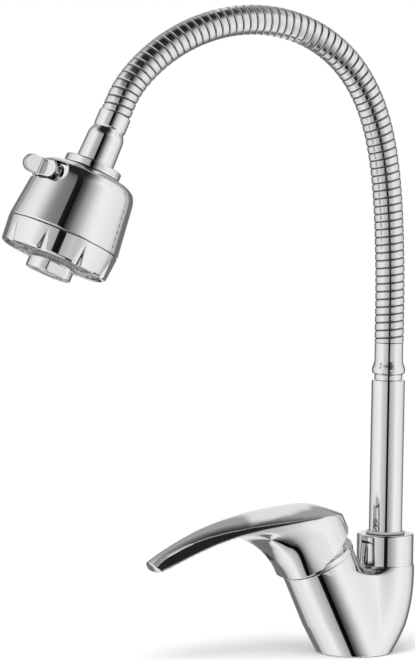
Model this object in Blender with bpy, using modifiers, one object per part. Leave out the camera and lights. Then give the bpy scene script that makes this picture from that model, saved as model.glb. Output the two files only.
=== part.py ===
"""Flexible kitchen faucet: a cast body with a single lever mixer, a swivelling riser,
a ribbed gooseneck of ball and cup links, and a two-mode spray head.

Metres, +Z up. The origin is the centre of the base, on the deck. The lever, the gooseneck's
reach and the spray head point along -Y, and the faucet is symmetric about the plane X = 0.
"""

import math

import bmesh
import bpy
from mathutils import Matrix, Vector

# Fits shared by every piece
GAP = 0.0003
SLIDE_GAP = 0.0004
OVERRUN = 0.002
MERGE = 0.00001
CHAMFER = 0.0005

# Mesh fineness
SMOOTH_ANGLE = 35.0
RIB_SMOOTH_ANGLE = 50.0
FINE_STEPS = 28
STEPS = 18
PLUG_STEPS = 16
SMALL_STEPS = 12
WAY_STEPS = 11
BORE_STEPS = 10
PORT_STEPS = 8
STREAM_STEPS = 6
NOZZLE_STEPS = 5
RING_SIDES = 4
CAP_ARC_COUNT = 3
DOME_ARC_COUNT = 5

# Body casting
BASE_RADIUS = 0.025
BASE_EDGE = 0.0008
LEAN_ANGLE = 26.0
SEAT_Y = -0.0274
SEAT_Z = 0.0609
HOUSING_RADIUS = 0.025
HUB_Y = 0.022
HUB_RADIUS = 0.0187
HUB_TOP_Z = 0.057
HUB_RING_COUNT = 7
HUB_POWER_SHARE = 2.3
HUB_SPACING_SHARE = 1.2
CROTCH_Z = 0.0525
WEB_INSET = 0.0004
WEB_FADE_SHARE = 1.7
WEB_NARROW_SHARE = 0.7
SPIGOT_RADIUS = 0.0155
SPIGOT_HEIGHT = 0.011
SEAL_BORE_RADIUS = 0.0114
SOCKET_DEPTH = 0.021
WATERWAY_RADIUS = 0.003
OUTLET_RADIUS = 0.0035
PORT_SPREAD = 0.0075
PORT_FRONT = 0.004
OUTLET_BACK = 0.009
INLET_RADIUS = 0.005
INLET_DEPTH = 0.012
INLET_X = 0.0085
STUD_HOLE_RADIUS = 0.004
STUD_HOLE_DEPTH = 0.011
STUD_HOLE_Y = -0.014

# Base gasket
GASKET_RADIUS = 0.0215
GASKET_WIDTH = 0.0025
GASKET_HEIGHT = 0.002

# Mixing cartridge, measured down from the seat along its axis
CASE_RADIUS = 0.0197
CASE_WALL = 0.0018
CASE_BOTTOM = 0.024
CASE_SHOULDER = 0.006
CASE_ROOF = 0.0027
NECK_RADIUS = 0.0148
NECK_TOP = 0.0085
CARRIER_RADIUS = 0.0125
CARRIER_FLANGE_RADIUS = 0.0142
CARRIER_FLANGE = 0.0016
CARRIER_TOP = 0.0095
SEAL_THICKNESS = 0.002
SEAL_INSET = 0.0012
SEAL_RADIUS = CASE_RADIUS - SEAL_INSET
DISC_THICKNESS = 0.0035
FIXED_DISC_INSET = 0.0007
FIXED_DISC_RADIUS = CASE_RADIUS - CASE_WALL - FIXED_DISC_INSET
MOVING_DISC_INSET = 0.0052
MOVING_DISC_RADIUS = FIXED_DISC_RADIUS - MOVING_DISC_INSET
SLIDER_THICKNESS = 0.0046
PORT_RADIUS = 0.0022
MIX_POCKET_DEPTH = 0.0018
MIX_POCKET_RADIUS = 0.0075
NUT_RADIUS = 0.0228
NUT_BORE_RADIUS = 0.0155
NUT_HEIGHT = 0.0055
NUT_SLOT_WIDTH = 0.004
NUT_SLOT_DEPTH = 0.0018
NUT_SLOT_COUNT = 4

# Dome cap over the nut
PIVOT_HEIGHT = 0.004
CAP_BAND_RADIUS = 0.02525
CAP_BAND_HEIGHT = 0.0039
CAP_DOME_RADIUS = 0.0217
CAP_WALL = 0.0015
CAP_TOP = 0.015

# Lever lift
STEM_WIDTH = 0.008
STEM_TOP = 0.030
STEM_ARM = 0.017
STEM_TOE = 0.0056
STEM_EYE_SHARE = 1.1
PIN_RADIUS = 0.0015
LIFT_ANGLE = 18.0

# Handle
SKIRT_RADIUS = 0.0246
CAVITY_RADIUS = 0.0223
CHAMBER_RADIUS = 0.0150
CHAMBER_TOP = 0.032
BOSS_RADIUS = 0.0085
BOSS_BOTTOM = 0.016
SCREW_HEIGHT = 0.021
SCREW_RADIUS = 0.0022
SCREW_LENGTH = 0.0160
PLUG_RADIUS = 0.0045
PLUG_LENGTH = 0.0040
PLUG_FRONT = 0.0262
SECTION_POINTS = 16
CROWN_SHARE = 0.75
BLADE_SIDE_SHARE = 0.8
BLADE_REACH = 0.1085
BLADE_HEIGHT = 0.0614
BLADE_HALF_WIDTH = 0.0245
SKIRT_TOP = 0.049

# Blade sections from tip to back: shares of its reach, its height twice for top and underside,
# and its half width
BLADE_SECTION_SHARES = (
    (-1.0000, 0.9577, 0.9316, 0.2449),
    (-0.9908, 0.9837, 0.9055, 0.4000),
    (-0.9585, 0.9951, 0.8974, 0.4490),
    (-0.8756, 1.0000, 0.8990, 0.4735),
    (-0.7373, 1.0000, 0.8990, 0.5510),
    (-0.5991, 0.9902, 0.8860, 0.6531),
    (-0.4608, 0.9609, 0.8502, 0.7673),
    (-0.3226, 0.9169, 0.7915, 0.8694),
    (-0.1843, 0.8469, 0.7003, 0.9551),
    (-0.0461, 0.7524, 0.5700, 1.0000),
    (0.0645, 0.6726, 0.4723, 0.9714),
    (0.1382, 0.5977, 0.3990, 0.8082),
    (0.1843, 0.5212, 0.3616, 0.6041),
    (0.2138, 0.4430, 0.3339, 0.3469),
)
# Skirt sections from bottom to top: share of its height, then shares of its radius for
# the centre in front of the axis, the half depth and the half width
SKIRT_SECTION_SHARES = (
    (0.1020, 0.0000, 1.0000, 1.0000),
    (0.4082, 0.0081, 1.0081, 1.0000),
    (0.5306, 0.1829, 0.9350, 0.9756),
    (0.6531, 0.4675, 0.8740, 0.9350),
    (0.7755, 0.7520, 0.8130, 0.8740),
    (0.8980, 1.0569, 0.7520, 0.7927),
    (1.0000, 1.3415, 0.6504, 0.6911),
)

# Riser
RISER_RADIUS = 0.011
RISER_BORE_RADIUS = 0.0085
RISER_FOOT_Z = 0.038
RISER_TOP_Z = 0.179
GROOVE_RADIUS = 0.0094
GROOVE_WIDTH = 0.0026
SEAL_LOW_Z = 0.0405
SEAL_PITCH = 0.005
RING_SECTION = 0.0007
CLIP_Z = 0.0706
CLIP_WIDTH = 0.0012
CLIP_RADIUS = 0.0124
COLLAR_RADIUS = 0.01875
COLLAR_TOP_Z = 0.076
COLLAR_ROOF = 0.0033
COLLAR_EDGE = 0.0012
BUSH_RADIUS = 0.0126
BUSH_FLANGE_RADIUS = 0.0152
BUSH_FLANGE = 0.0017
BUSH_BOTTOM_Z = 0.0505
WIPER_SECTION = 0.0008

# Lower ferrule
FERRULE_NECK_RADIUS = 0.00925
FERRULE_NECK_TOP_Z = 0.1828
FERRULE_BULGE_RADIUS = 0.011
FERRULE_BULGE_Z = 0.1858
FERRULE_TUBE_RADIUS = 0.0094
FERRULE_TUBE_Z = 0.1908
FERRULE_TOP_Z = 0.2037
FERRULE_SPIGOT_DEPTH = 0.013
FERRULE_BORE_RADIUS = 0.0038
FERRULE_TAIL_RADIUS = 0.0048
FERRULE_TAIL_HEIGHT = 0.008

# Gooseneck
HOSE_RADIUS = 0.0096
VALLEY_RADIUS = 0.0089
HOSE_BORE_RADIUS = 0.0052
LINK_COUNT = 15
LINK_RIBS = 5
LINK_LENGTH = 0.02565
RIB_SHARE = 0.75
LIP_LENGTH = 0.0015
LIP_CHAMFER = 0.0003
LIP_RADIUS = 0.0094
BALL_RADIUS = 0.0078
CUP_RADIUS = 0.0083
BALL_NECK = 0.0041
BALL_END = 0.0048
BALL_POINT_COUNT = 4
CUP_DEPTH = 0.0064
CUP_POINT_COUNT = 4
STEP_LENGTH = 0.0001
HOSE_SEAT_RADIUS = 0.0088
HOSE_SEAT_DEPTH = 0.0085
LAST_STRAIGHT = 0.01025
HOSE_SIDES_RESOLUTION = 3
BORE_SIDES_RESOLUTION = 2
# Lean of the hose in degrees at each station: both ends of the straight run at the riser,
# the top of each link from the second to the fourteenth, and both ends of the last straight run
HOSE_LEAN_ANGLES = (0, 0, 2, 3.5, 6.5, 12, 22, 37, 55, 72, 87, 101, 114, 127, 141, 156, 156)

# Upper ferrule and its spigot, measured down from the end of the hose
CRIMP_RADIUS = 0.0104
CRIMP_BORE_RADIUS = 0.0093
CRIMP_LENGTH = 0.009
SLEEVE_START = 0.0135
SLEEVE_TOP_RADIUS = 0.01185
SLEEVE_RADIUS = 0.0122
SLEEVE_END = 0.0328
STEM_BORE_RADIUS = 0.0045
SPIGOT_PIPE_RADIUS = 0.008
SPIGOT_PIPE_END = 0.052
PIPE_GROOVE_RADIUS = 0.0066
PIPE_RING_AT = 0.0442
PIPE_GROOVE_WIDTH = 0.0022
PIPE_RING_SECTION = 0.0006
PIPE_CLIP_AT = 0.0500
PIPE_CLIP_RADIUS = 0.0104

# Spray head, measured down from the end of the hose
HEAD_COLLAR_TOP = 0.0331
HEAD_COLLAR_RADIUS = 0.0185
HEAD_COLLAR_END = 0.0382
SHELL_TOP = 0.0385
SHELL_WALL = 0.0022
SHELL_SPLIT = 0.083
SHELL_RADIUS = 0.0367
# Shell outline from its top: shares of its radius and of its length
SHELL_OUTLINE_SHARES = (
    (0.2725, 0.0000),
    (0.5177, 0.0045),
    (0.7139, 0.0337),
    (0.8229, 0.0921),
    (0.8774, 0.1910),
    (0.8883, 0.2584),
    (1.0000, 1.0000),
)
CORE_BORE_RADIUS = 0.0084
CORE_NECK_RADIUS = 0.0096
CORE_HUB_RADIUS = 0.0135
CORE_FLANGE_RADIUS = 0.0195
CORE_FLANGE_TOP = 0.0414
CORE_FLANGE = 0.0013
CORE_HUB_END = 0.0545
CLIP_POCKET_RADIUS = 0.0109
CLIP_POCKET_TOP = 0.0485
DIVIDER_TOP = 0.0602
DIVIDER_PLATE = 0.0030
DIVIDER_RADIUS = 0.0290
DIVIDER_SKIRT_END = 0.0830
DIVIDER_SKIRT_WALL = 0.0020
DIVIDER_FLANGE_RADIUS = 0.0337
DIVIDER_FLANGE = 0.0018
DIVIDER_TUBE_RADIUS = 0.0105
DIVIDER_TUBE_BORE_RADIUS = 0.0080
DIVIDER_PORT_RADIUS = 0.0020
DIVIDER_PORT_CIRCLE = 0.0190
DIVIDER_PORT_COUNT = 6
RING_TOP_RADIUS = 0.0366
RING_RIM_RADIUS = 0.0353
RING_RIM_AT = 0.0980
RING_END = 0.0998
RING_LIP_RADIUS = 0.0325
RING_WALL = 0.0032
RING_LEDGE = 0.0950
NOTCH_COUNT = 9
NOTCH_FIRST_ANGLE = 13.0
NOTCH_TOP = 0.0868
NOTCH_RADIUS = 0.0036
FACE_RADIUS = 0.0330
FACE_TOP = 0.0915
FACE_RIM = 0.0030
FACE_CROWN = 0.0018
FACE_BORE_RADIUS = 0.0130
NOZZLE_RADIUS = 0.0006
NOZZLE_DEPTH = 0.0012
# Circles of nozzles: share of the face's radius, and how many
NOZZLE_CIRCLE_SHARES = ((0.606, 10), (0.803, 14))
AERATOR_RADIUS = 0.0150
AERATOR_TOP = 0.0992
AERATOR_END = 0.1085
AERATOR_NECK_RADIUS = 0.0126
AERATOR_NECK_TOP = 0.0880
AERATOR_BORE_RADIUS = 0.0108
AERATOR_FLAT = 0.0134
AERATOR_FLAT_TOP = 0.1016
AERATOR_LEDGE = 0.1020
AERATOR_MOUTH_RADIUS = 0.0098
INSERT_THICKNESS = 0.0040
INSERT_HOLE_RADIUS = 0.0010
INSERT_CIRCLE_SHARE = 0.59
INSERT_HOLE_COUNT = 7
WASHER_THICKNESS = 0.0016

# Mode lever: a drum behind the shell's slot, its shutter plate and its fin
SLOT_AT = 0.0495
SLOT_HALF_HEIGHT = 0.0064
SLOT_HALF_ANGLE = 45.0
DRUM_TOP = 0.0438
DRUM_END = 0.0570
DRUM_RADIUS = 0.0276
DRUM_WALL = 0.0018
DRUM_WEB = 0.0022
DRUM_BORE_RADIUS = 0.0060
PLATE_RADIUS = 0.0331
PLATE_HALF_HEIGHT = 0.0056
PLATE_HALF_ANGLE = 31.0
PLATE_STEPS = 12
PLATE_END_SHARE = 0.3
FIN_REACH = 0.0440
FIN_WIDTH = 0.0046
DIVERTER_RADIUS = 0.0115
DIVERTER_THICKNESS = 0.0026
DIVERTER_PORT_RADIUS = 0.0018
DIVERTER_PORT_OFFSET = 0.0062

CHROME = ((0.80, 0.81, 0.82), 0.08, 1.0)
BRASS = ((0.72, 0.55, 0.28), 0.30, 1.0)
STEEL = ((0.62, 0.62, 0.63), 0.25, 1.0)
RUBBER = ((0.03, 0.03, 0.03), 0.70, 0.0)
CERAMIC = ((0.86, 0.84, 0.80), 0.25, 0.0)
WHITE_PLASTIC = ((0.80, 0.80, 0.78), 0.45, 0.0)
GREY_PLASTIC = ((0.42, 0.43, 0.44), 0.50, 0.0)
DARK_PLASTIC = ((0.10, 0.10, 0.11), 0.40, 0.0)


def clear_scene():
    """Remove every object so that the model starts from nothing."""
    for old in list(bpy.data.objects):
        bpy.data.objects.remove(old, do_unlink=True)


def new_collection(name):
    """Make a collection and hang it on the scene."""
    group = bpy.data.collections.new(name)
    bpy.context.scene.collection.children.link(group)
    return group


def material(name, finish):
    """A Principled material of one colour, roughness and metallic value."""
    colour, roughness, metallic = finish
    made = bpy.data.materials.new(name)
    made.use_nodes = True
    shader = made.node_tree.nodes["Principled BSDF"]
    shader.inputs["Base Color"].default_value = (*colour, 1.0)
    shader.inputs["Roughness"].default_value = roughness
    shader.inputs["Metallic"].default_value = metallic
    made.diffuse_color = (*colour, 1.0)
    return made


def frame_empty(name, place, parent=None):
    """An empty that carries the pieces of one body on its joint's axis."""
    empty = bpy.data.objects.new(name, None)
    PARTS.objects.link(empty)
    empty.parent = parent
    empty.matrix_basis = place
    empty.empty_display_size = GAP
    bpy.context.view_layer.update()
    return empty


def add_piece(name, mesh, parent, finish, smooth_angle=SMOOTH_ANGLE):
    """Link a mesh as a named piece with its own material, carried by a frame."""
    piece = bpy.data.objects.new(name, mesh)
    PARTS.objects.link(piece)
    piece.parent = parent
    mesh.materials.clear()
    mesh.materials.append(material(name, finish))
    mesh.shade_smooth()
    mesh.set_sharp_from_angle(angle=math.radians(smooth_angle))
    return piece


def add_cutter(name, mesh, parent):
    """Link a mesh as a hidden tool for a Boolean."""
    cutter = bpy.data.objects.new(name, mesh)
    TOOLS.objects.link(cutter)
    cutter.parent = parent
    cutter.hide_render = True
    cutter.display_type = "WIRE"
    return cutter


def boolean(piece, cutter, operation="DIFFERENCE"):
    """Cut one shape from a piece, or join it on."""
    step = piece.modifiers.new(cutter.name, "BOOLEAN")
    step.operation = operation
    step.solver = "EXACT"
    step.object = cutter


def profile_mesh(name, points, closed):
    """Edges through the points (radius, height) of a turned profile."""
    mesh = bpy.data.meshes.new(name)
    count = len(points)
    edges = [(i, i + 1) for i in range(count - 1)]
    if closed:
        edges.append((count - 1, 0))
    mesh.from_pydata([(r, 0.0, z) for r, z in points], edges, [])
    return mesh


def screw(piece, steps, angle=360.0):
    """Turn the profile about the piece's own Z axis."""
    turn = piece.modifiers.new("turn", "SCREW")
    turn.axis = "Z"
    turn.angle = math.radians(angle)
    turn.steps = steps
    turn.render_steps = steps
    turn.use_merge_vertices = True
    turn.merge_threshold = MERGE
    turn.use_smooth_shade = True
    return turn


def turned(name, points, parent, finish, steps=STEPS, closed=True):
    """A turned piece: the profile runs down its outer side and back up inside."""
    piece = add_piece(name, profile_mesh(name, points, closed), parent, finish)
    screw(piece, steps)
    return piece


def turned_cutter(name, points, parent, steps=STEPS, closed=True):
    """A turned tool, its profile given the same way."""
    cutter = add_cutter(name, profile_mesh(name, points, closed), parent)
    screw(cutter, steps)
    return cutter


def ring_profile(outer, inner, top, bottom, edge=0.0):
    """A ring's closed section, with its outer edges chamfered where an edge is given."""
    points = [(outer, top - edge), (outer, bottom + edge)]
    if edge:
        points = [(outer - edge, top), *points, (outer - edge, bottom)]
    return [*points, (inner, bottom), (inner, top)]


def solid_profile(radius, top, bottom):
    """A disc's section from its axis round its outer side."""
    return [(0.0, top), (radius, top), (radius, bottom), (0.0, bottom)]


def rod_mesh(name, start, end, radius, steps=SMALL_STEPS, end_radius=None):
    """A capped cylinder or cone between two points."""
    start, end = Vector(start), Vector(end)
    run = end - start
    turn = run.to_track_quat("Z", "Y").to_matrix().to_4x4()
    shape = bmesh.new()
    bmesh.ops.create_cone(
        shape,
        cap_ends=True,
        cap_tris=False,
        segments=steps,
        radius1=radius,
        radius2=radius if end_radius is None else end_radius,
        depth=run.length,
        matrix=Matrix.Translation((start + end) / 2) @ turn,
    )
    mesh = bpy.data.meshes.new(name)
    shape.to_mesh(mesh)
    shape.free()
    return mesh


def box_mesh(name, low, high):
    """A box between two corners."""
    low, high = Vector(low), Vector(high)
    shape = bmesh.new()
    size = Matrix.Diagonal((*(high - low), 1.0))
    bmesh.ops.create_cube(shape, size=1.0, matrix=Matrix.Translation((low + high) / 2) @ size)
    mesh = bpy.data.meshes.new(name)
    shape.to_mesh(mesh)
    shape.free()
    return mesh


def drill(piece, name, parent, start, end, radius, steps=SMALL_STEPS):
    """Cut a round hole between two points of a frame."""
    boolean(piece, add_cutter(name, rod_mesh(name, start, end, radius, steps), parent))


def drill_ring(piece, name, parent, circle_of, hole, span, start=0.0, steps=PORT_STEPS):
    """Cut a ring (radius, count) of equal round holes along its frame's Z axis, from low to high."""
    radius, count = circle_of
    low, high = span
    middle = (low + high) / 2
    shape = bmesh.new()
    for number in range(count):
        angle = start + math.tau * number / count
        place = Matrix.Translation((radius * math.cos(angle), radius * math.sin(angle), middle))
        bmesh.ops.create_cone(
            shape,
            cap_ends=True,
            segments=steps,
            radius1=hole,
            radius2=hole,
            depth=high - low,
            matrix=place,
        )
    mesh = bpy.data.meshes.new(name)
    shape.to_mesh(mesh)
    shape.free()
    boolean(piece, add_cutter(name, mesh, parent))


def torus(name, parent, radius, section, height, steps=SMALL_STEPS):
    """A round sealing ring."""
    bpy.ops.mesh.primitive_torus_add(
        major_radius=radius, minor_radius=section, major_segments=steps, minor_segments=RING_SIDES
    )
    made = bpy.context.object
    mesh = made.data
    bpy.data.objects.remove(made)
    mesh.transform(Matrix.Translation((0.0, 0.0, height)))
    return add_piece(name, mesh, parent, RUBBER)


def loft(name, rings):
    """Skin a stack of closed rings of equal count and cap both ends."""
    shape = bmesh.new()
    rows = [[shape.verts.new(point) for point in ring] for ring in rings]
    count = len(rows[0])
    for lower, upper in zip(rows, rows[1:]):
        for i in range(count):
            j = (i + 1) % count
            shape.faces.new((lower[i], lower[j], upper[j], upper[i]))
    shape.faces.new(rows[0][::-1])
    shape.faces.new(rows[-1])
    bmesh.ops.recalc_face_normals(shape, faces=shape.faces)
    mesh = bpy.data.meshes.new(name)
    shape.to_mesh(mesh)
    shape.free()
    return mesh


def circle(radius, centre, lean=0.0, count=FINE_STEPS):
    """Points of a circle whose plane is tipped about the X axis."""
    turn = Matrix.Rotation(math.radians(lean), 3, "X")
    ring = []
    for i in range(count):
        angle = math.tau * i / count
        ring.append(Vector(centre) + turn @ Vector((radius * math.cos(angle), radius * math.sin(angle), 0.0)))
    return ring


def taut_ring(first, second, height):
    """A level outline drawn taut round two circles, each given as (radius, place along Y)."""
    ring = []
    for i in range(FINE_STEPS):
        angle = math.tau * i / FINE_STEPS
        way = Vector((math.cos(angle), math.sin(angle), 0.0))
        radius, place = max(first, second, key=lambda disc: disc[0] + disc[1] * way.y)
        ring.append(Vector((0.0, place, height)) + way * radius)
    return ring


def hub_ring(height):
    """The hub's level outline: it slides back from the base, with a web that leaves the housing."""
    share = 1.0 - (1.0 - height / HUB_TOP_Z) ** HUB_POWER_SHARE
    hub = (BASE_RADIUS + (HUB_RADIUS - BASE_RADIUS) * share, HUB_Y * share)
    fade = min(1.0, height / CROTCH_Z) ** WEB_FADE_SHARE
    housing_y = SEAT_Y * height / SEAT_Z
    web_radius = (BASE_RADIUS - WEB_INSET) * (1.0 - WEB_NARROW_SHARE * fade)
    web = (web_radius, housing_y + (hub[1] - housing_y) * fade)
    return taut_ring(hub, web, height)


def local(frame, point):
    """A frame's point in world coordinates."""
    return frame.matrix_world @ Vector(point)


def make_body():
    """The casting: slanted cartridge housing and riser hub on one round base."""
    inset = BASE_RADIUS - BASE_EDGE
    housing = loft(
        "body_casting",
        [
            circle(inset, (0.0, 0.0, 0.0)),
            circle(BASE_RADIUS, (0.0, 0.0, BASE_EDGE)),
            circle(HOUSING_RADIUS - CHAMFER / 2, (0.0, SEAT_Y, SEAT_Z), LEAN_ANGLE),
        ],
    )
    body = add_piece("body_casting", housing, BODY, CHROME)
    steps = [i / (HUB_RING_COUNT - 1) for i in range(1, HUB_RING_COUNT)]
    levels = [HUB_TOP_Z * step**HUB_SPACING_SHARE for step in steps]
    foot = circle(BASE_RADIUS - BASE_EDGE / 2, (0.0, BASE_EDGE / 4, BASE_EDGE))
    rings = [foot] + [hub_ring(z) for z in levels]
    boolean(body, add_cutter("hub", loft("hub", rings), BODY), "UNION")
    spigot_foot = HUB_TOP_Z - SPIGOT_HEIGHT
    spigot = solid_profile(SPIGOT_RADIUS, HUB_TOP_Z + SPIGOT_HEIGHT, spigot_foot)
    boolean(body, turned_cutter("spigot", spigot, RISER_AXIS, closed=False), "UNION")

    nut_bore = NUT_RADIUS + SLIDE_GAP
    case_bore = CASE_RADIUS + SLIDE_GAP
    floor = -CASE_BOTTOM - SEAL_THICKNESS - 2 * GAP
    chamber = [
        (0.0, OVERRUN),
        (nut_bore, OVERRUN),
        (nut_bore, -CASE_SHOULDER - GAP),
        (case_bore, -CASE_SHOULDER - GAP),
        (case_bore, floor),
        (0.0, floor),
    ]
    boolean(body, turned_cutter("cartridge_chamber", chamber, CARTRIDGE, closed=False))
    top = HUB_TOP_Z + SPIGOT_HEIGHT
    socket = [
        (0.0, top + OVERRUN),
        (BUSH_RADIUS + GAP, top + OVERRUN),
        (BUSH_RADIUS + GAP, BUSH_BOTTOM_Z - GAP),
        (SEAL_BORE_RADIUS, BUSH_BOTTOM_Z - GAP),
        (SEAL_BORE_RADIUS, HUB_TOP_Z - SOCKET_DEPTH),
        (0.0, HUB_TOP_Z - SOCKET_DEPTH),
    ]
    boolean(body, turned_cutter("riser_socket", socket, RISER_AXIS, closed=False))

    outlet_start = local(CARTRIDGE, (0.0, OUTLET_BACK, floor + OVERRUN / 2))
    outlet_end = (0.0, HUB_Y, HUB_TOP_Z - SOCKET_DEPTH + OUTLET_RADIUS)
    drill(body, "outlet_way", BODY, outlet_start, outlet_end, OUTLET_RADIUS, WAY_STEPS)
    for side, word in ((-1, "hot"), (1, "cold")):
        top_end = (side * INLET_X, 0.0, INLET_DEPTH)
        seat = local(CARTRIDGE, (side * PORT_SPREAD, -PORT_FRONT, floor + OVERRUN / 2))
        low = (side * INLET_X, 0.0, -OVERRUN)
        drill(body, word + "_inlet", BODY, low, top_end, INLET_RADIUS)
        way_start = (side * INLET_X, 0.0, INLET_DEPTH - OVERRUN)
        drill(body, word + "_way", BODY, way_start, seat, WATERWAY_RADIUS, WAY_STEPS)
    stud_low = (0.0, STUD_HOLE_Y, -OVERRUN)
    stud_top = (0.0, STUD_HOLE_Y, STUD_HOLE_DEPTH)
    drill(body, "stud_hole", BODY, stud_low, stud_top, STUD_HOLE_RADIUS)
    groove_edge = GASKET_WIDTH / 2 + GAP
    groove_top = GASKET_HEIGHT + GAP
    groove = ring_profile(GASKET_RADIUS + groove_edge, GASKET_RADIUS - groove_edge, groove_top, -OVERRUN)
    boolean(body, turned_cutter("gasket_groove", groove, BODY, FINE_STEPS))
    gasket_edge = GASKET_WIDTH / 2
    gasket = ring_profile(GASKET_RADIUS + gasket_edge, GASKET_RADIUS - gasket_edge, GASKET_HEIGHT, 0.0)
    turned("base_gasket", gasket, BODY, RUBBER, FINE_STEPS)


def make_cartridge():
    """Case, seal, ceramic discs, nut, carrier, pin and stem along the slanted axis."""
    cavity = CASE_RADIUS - CASE_WALL
    roof = -CASE_SHOULDER - CASE_ROOF
    bore = CARRIER_RADIUS + SLIDE_GAP
    case = [
        (NECK_RADIUS, NECK_TOP),
        (NECK_RADIUS, -CASE_SHOULDER),
        (CASE_RADIUS, -CASE_SHOULDER),
        (CASE_RADIUS, -CASE_BOTTOM),
        (cavity, -CASE_BOTTOM),
        (cavity, roof),
        (bore, roof),
        (bore, NECK_TOP),
    ]
    turned("cartridge_case", case, CARTRIDGE, DARK_PLASTIC)

    seal_top = -CASE_BOTTOM - GAP
    seal = turned(
        "cartridge_seal",
        solid_profile(SEAL_RADIUS, seal_top, seal_top - SEAL_THICKNESS),
        CARTRIDGE,
        RUBBER,
        closed=False,
    )
    fixed_low = -CASE_BOTTOM
    fixed = turned(
        "fixed_ceramic_disc",
        solid_profile(FIXED_DISC_RADIUS, fixed_low + DISC_THICKNESS, fixed_low),
        CARTRIDGE,
        CERAMIC,
        closed=False,
    )
    ports = ((-PORT_SPREAD, -PORT_FRONT), (PORT_SPREAD, -PORT_FRONT), (0.0, OUTLET_BACK))
    low, high = seal_top - SEAL_THICKNESS - OVERRUN, fixed_low + DISC_THICKNESS + OVERRUN
    for number, (x, y) in enumerate(ports):
        port = rod_mesh(f"port_{number}", (x, y, low), (x, y, high), PORT_RADIUS, PORT_STEPS)
        cutter = add_cutter(f"port_{number}", port, CARTRIDGE)
        boolean(seal, cutter)
        boolean(fixed, cutter)

    moving_low = fixed_low + DISC_THICKNESS + GAP
    moving = turned(
        "moving_ceramic_disc",
        solid_profile(MOVING_DISC_RADIUS, moving_low + DISC_THICKNESS, moving_low),
        CARTRIDGE,
        CERAMIC,
        closed=False,
    )
    pocket_low = moving_low - OVERRUN
    pocket_high = moving_low + MIX_POCKET_DEPTH
    pocket_ends = ((0.0, 0.0, pocket_low), (0.0, 0.0, pocket_high))
    drill(moving, "mixing_pocket", CARTRIDGE, *pocket_ends, MIX_POCKET_RADIUS)

    slider_low = moving_low + DISC_THICKNESS + GAP
    slider_high = slider_low + SLIDER_THICKNESS
    slider = turned(
        "disc_slider",
        solid_profile(MOVING_DISC_RADIUS, slider_high, slider_low),
        CARTRIDGE,
        WHITE_PLASTIC,
        closed=False,
    )
    half_toe = STEM_TOE / 2 + SLIDE_GAP
    half_width = STEM_WIDTH / 2 + SLIDE_GAP
    pocket_foot = (-half_width, -half_toe, slider_low + GAP * 2)
    pocket_head = (half_width, half_toe, slider_high + OVERRUN)
    pocket = box_mesh("toe_pocket", pocket_foot, pocket_head)
    boolean(slider, add_cutter("toe_pocket", pocket, CARTRIDGE))

    nut = turned(
        "cartridge_nut",
        ring_profile(NUT_RADIUS, NUT_BORE_RADIUS, -CASE_SHOULDER + GAP + NUT_HEIGHT, -CASE_SHOULDER + GAP),
        CARTRIDGE,
        BRASS,
    )
    nut_top = -CASE_SHOULDER + GAP + NUT_HEIGHT
    for number in range(NUT_SLOT_COUNT):
        slot = box_mesh(
            f"nut_slot_{number}",
            (NUT_BORE_RADIUS - OVERRUN, -NUT_SLOT_WIDTH / 2, nut_top - NUT_SLOT_DEPTH),
            (NUT_BORE_RADIUS + OVERRUN, NUT_SLOT_WIDTH / 2, nut_top + OVERRUN),
        )
        slot.transform(Matrix.Rotation(math.tau * number / NUT_SLOT_COUNT, 4, "Z"))
        boolean(nut, add_cutter(f"nut_slot_{number}", slot, CARTRIDGE))

    make_dome_cap()
    make_carrier(roof, slider_high)
    make_stem(slider_low)


def arc_points(radius, centre_z, start_z, end_z, count):
    """Points (radius, height) down or up a sphere's side between two heights."""
    first = math.asin((start_z - centre_z) / radius)
    last = math.asin((end_z - centre_z) / radius)
    angles = [first + (last - first) * i / (count - 1) for i in range(count)]
    return [(radius * math.cos(a), centre_z + radius * math.sin(a)) for a in angles]


def make_dome_cap():
    """The trim band with the low dome that the handle's skirt slides over."""
    band_low = GAP
    inner = CAP_DOME_RADIUS - CAP_WALL
    outer_foot = CAP_BAND_HEIGHT + CHAMFER
    outer_arc = arc_points(CAP_DOME_RADIUS, PIVOT_HEIGHT, CAP_TOP, outer_foot, CAP_ARC_COUNT)
    inner_arc = arc_points(inner, PIVOT_HEIGHT, PIVOT_HEIGHT, CAP_TOP, CAP_ARC_COUNT - 1)
    cap = [
        *outer_arc,
        (CAP_BAND_RADIUS - CHAMFER, CAP_BAND_HEIGHT + CHAMFER / 2),
        (CAP_BAND_RADIUS, CAP_BAND_HEIGHT),
        (CAP_BAND_RADIUS, band_low),
        (inner, band_low),
        *inner_arc,
    ]
    turned("dome_cap", cap, CARTRIDGE, CHROME, FINE_STEPS)


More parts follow.
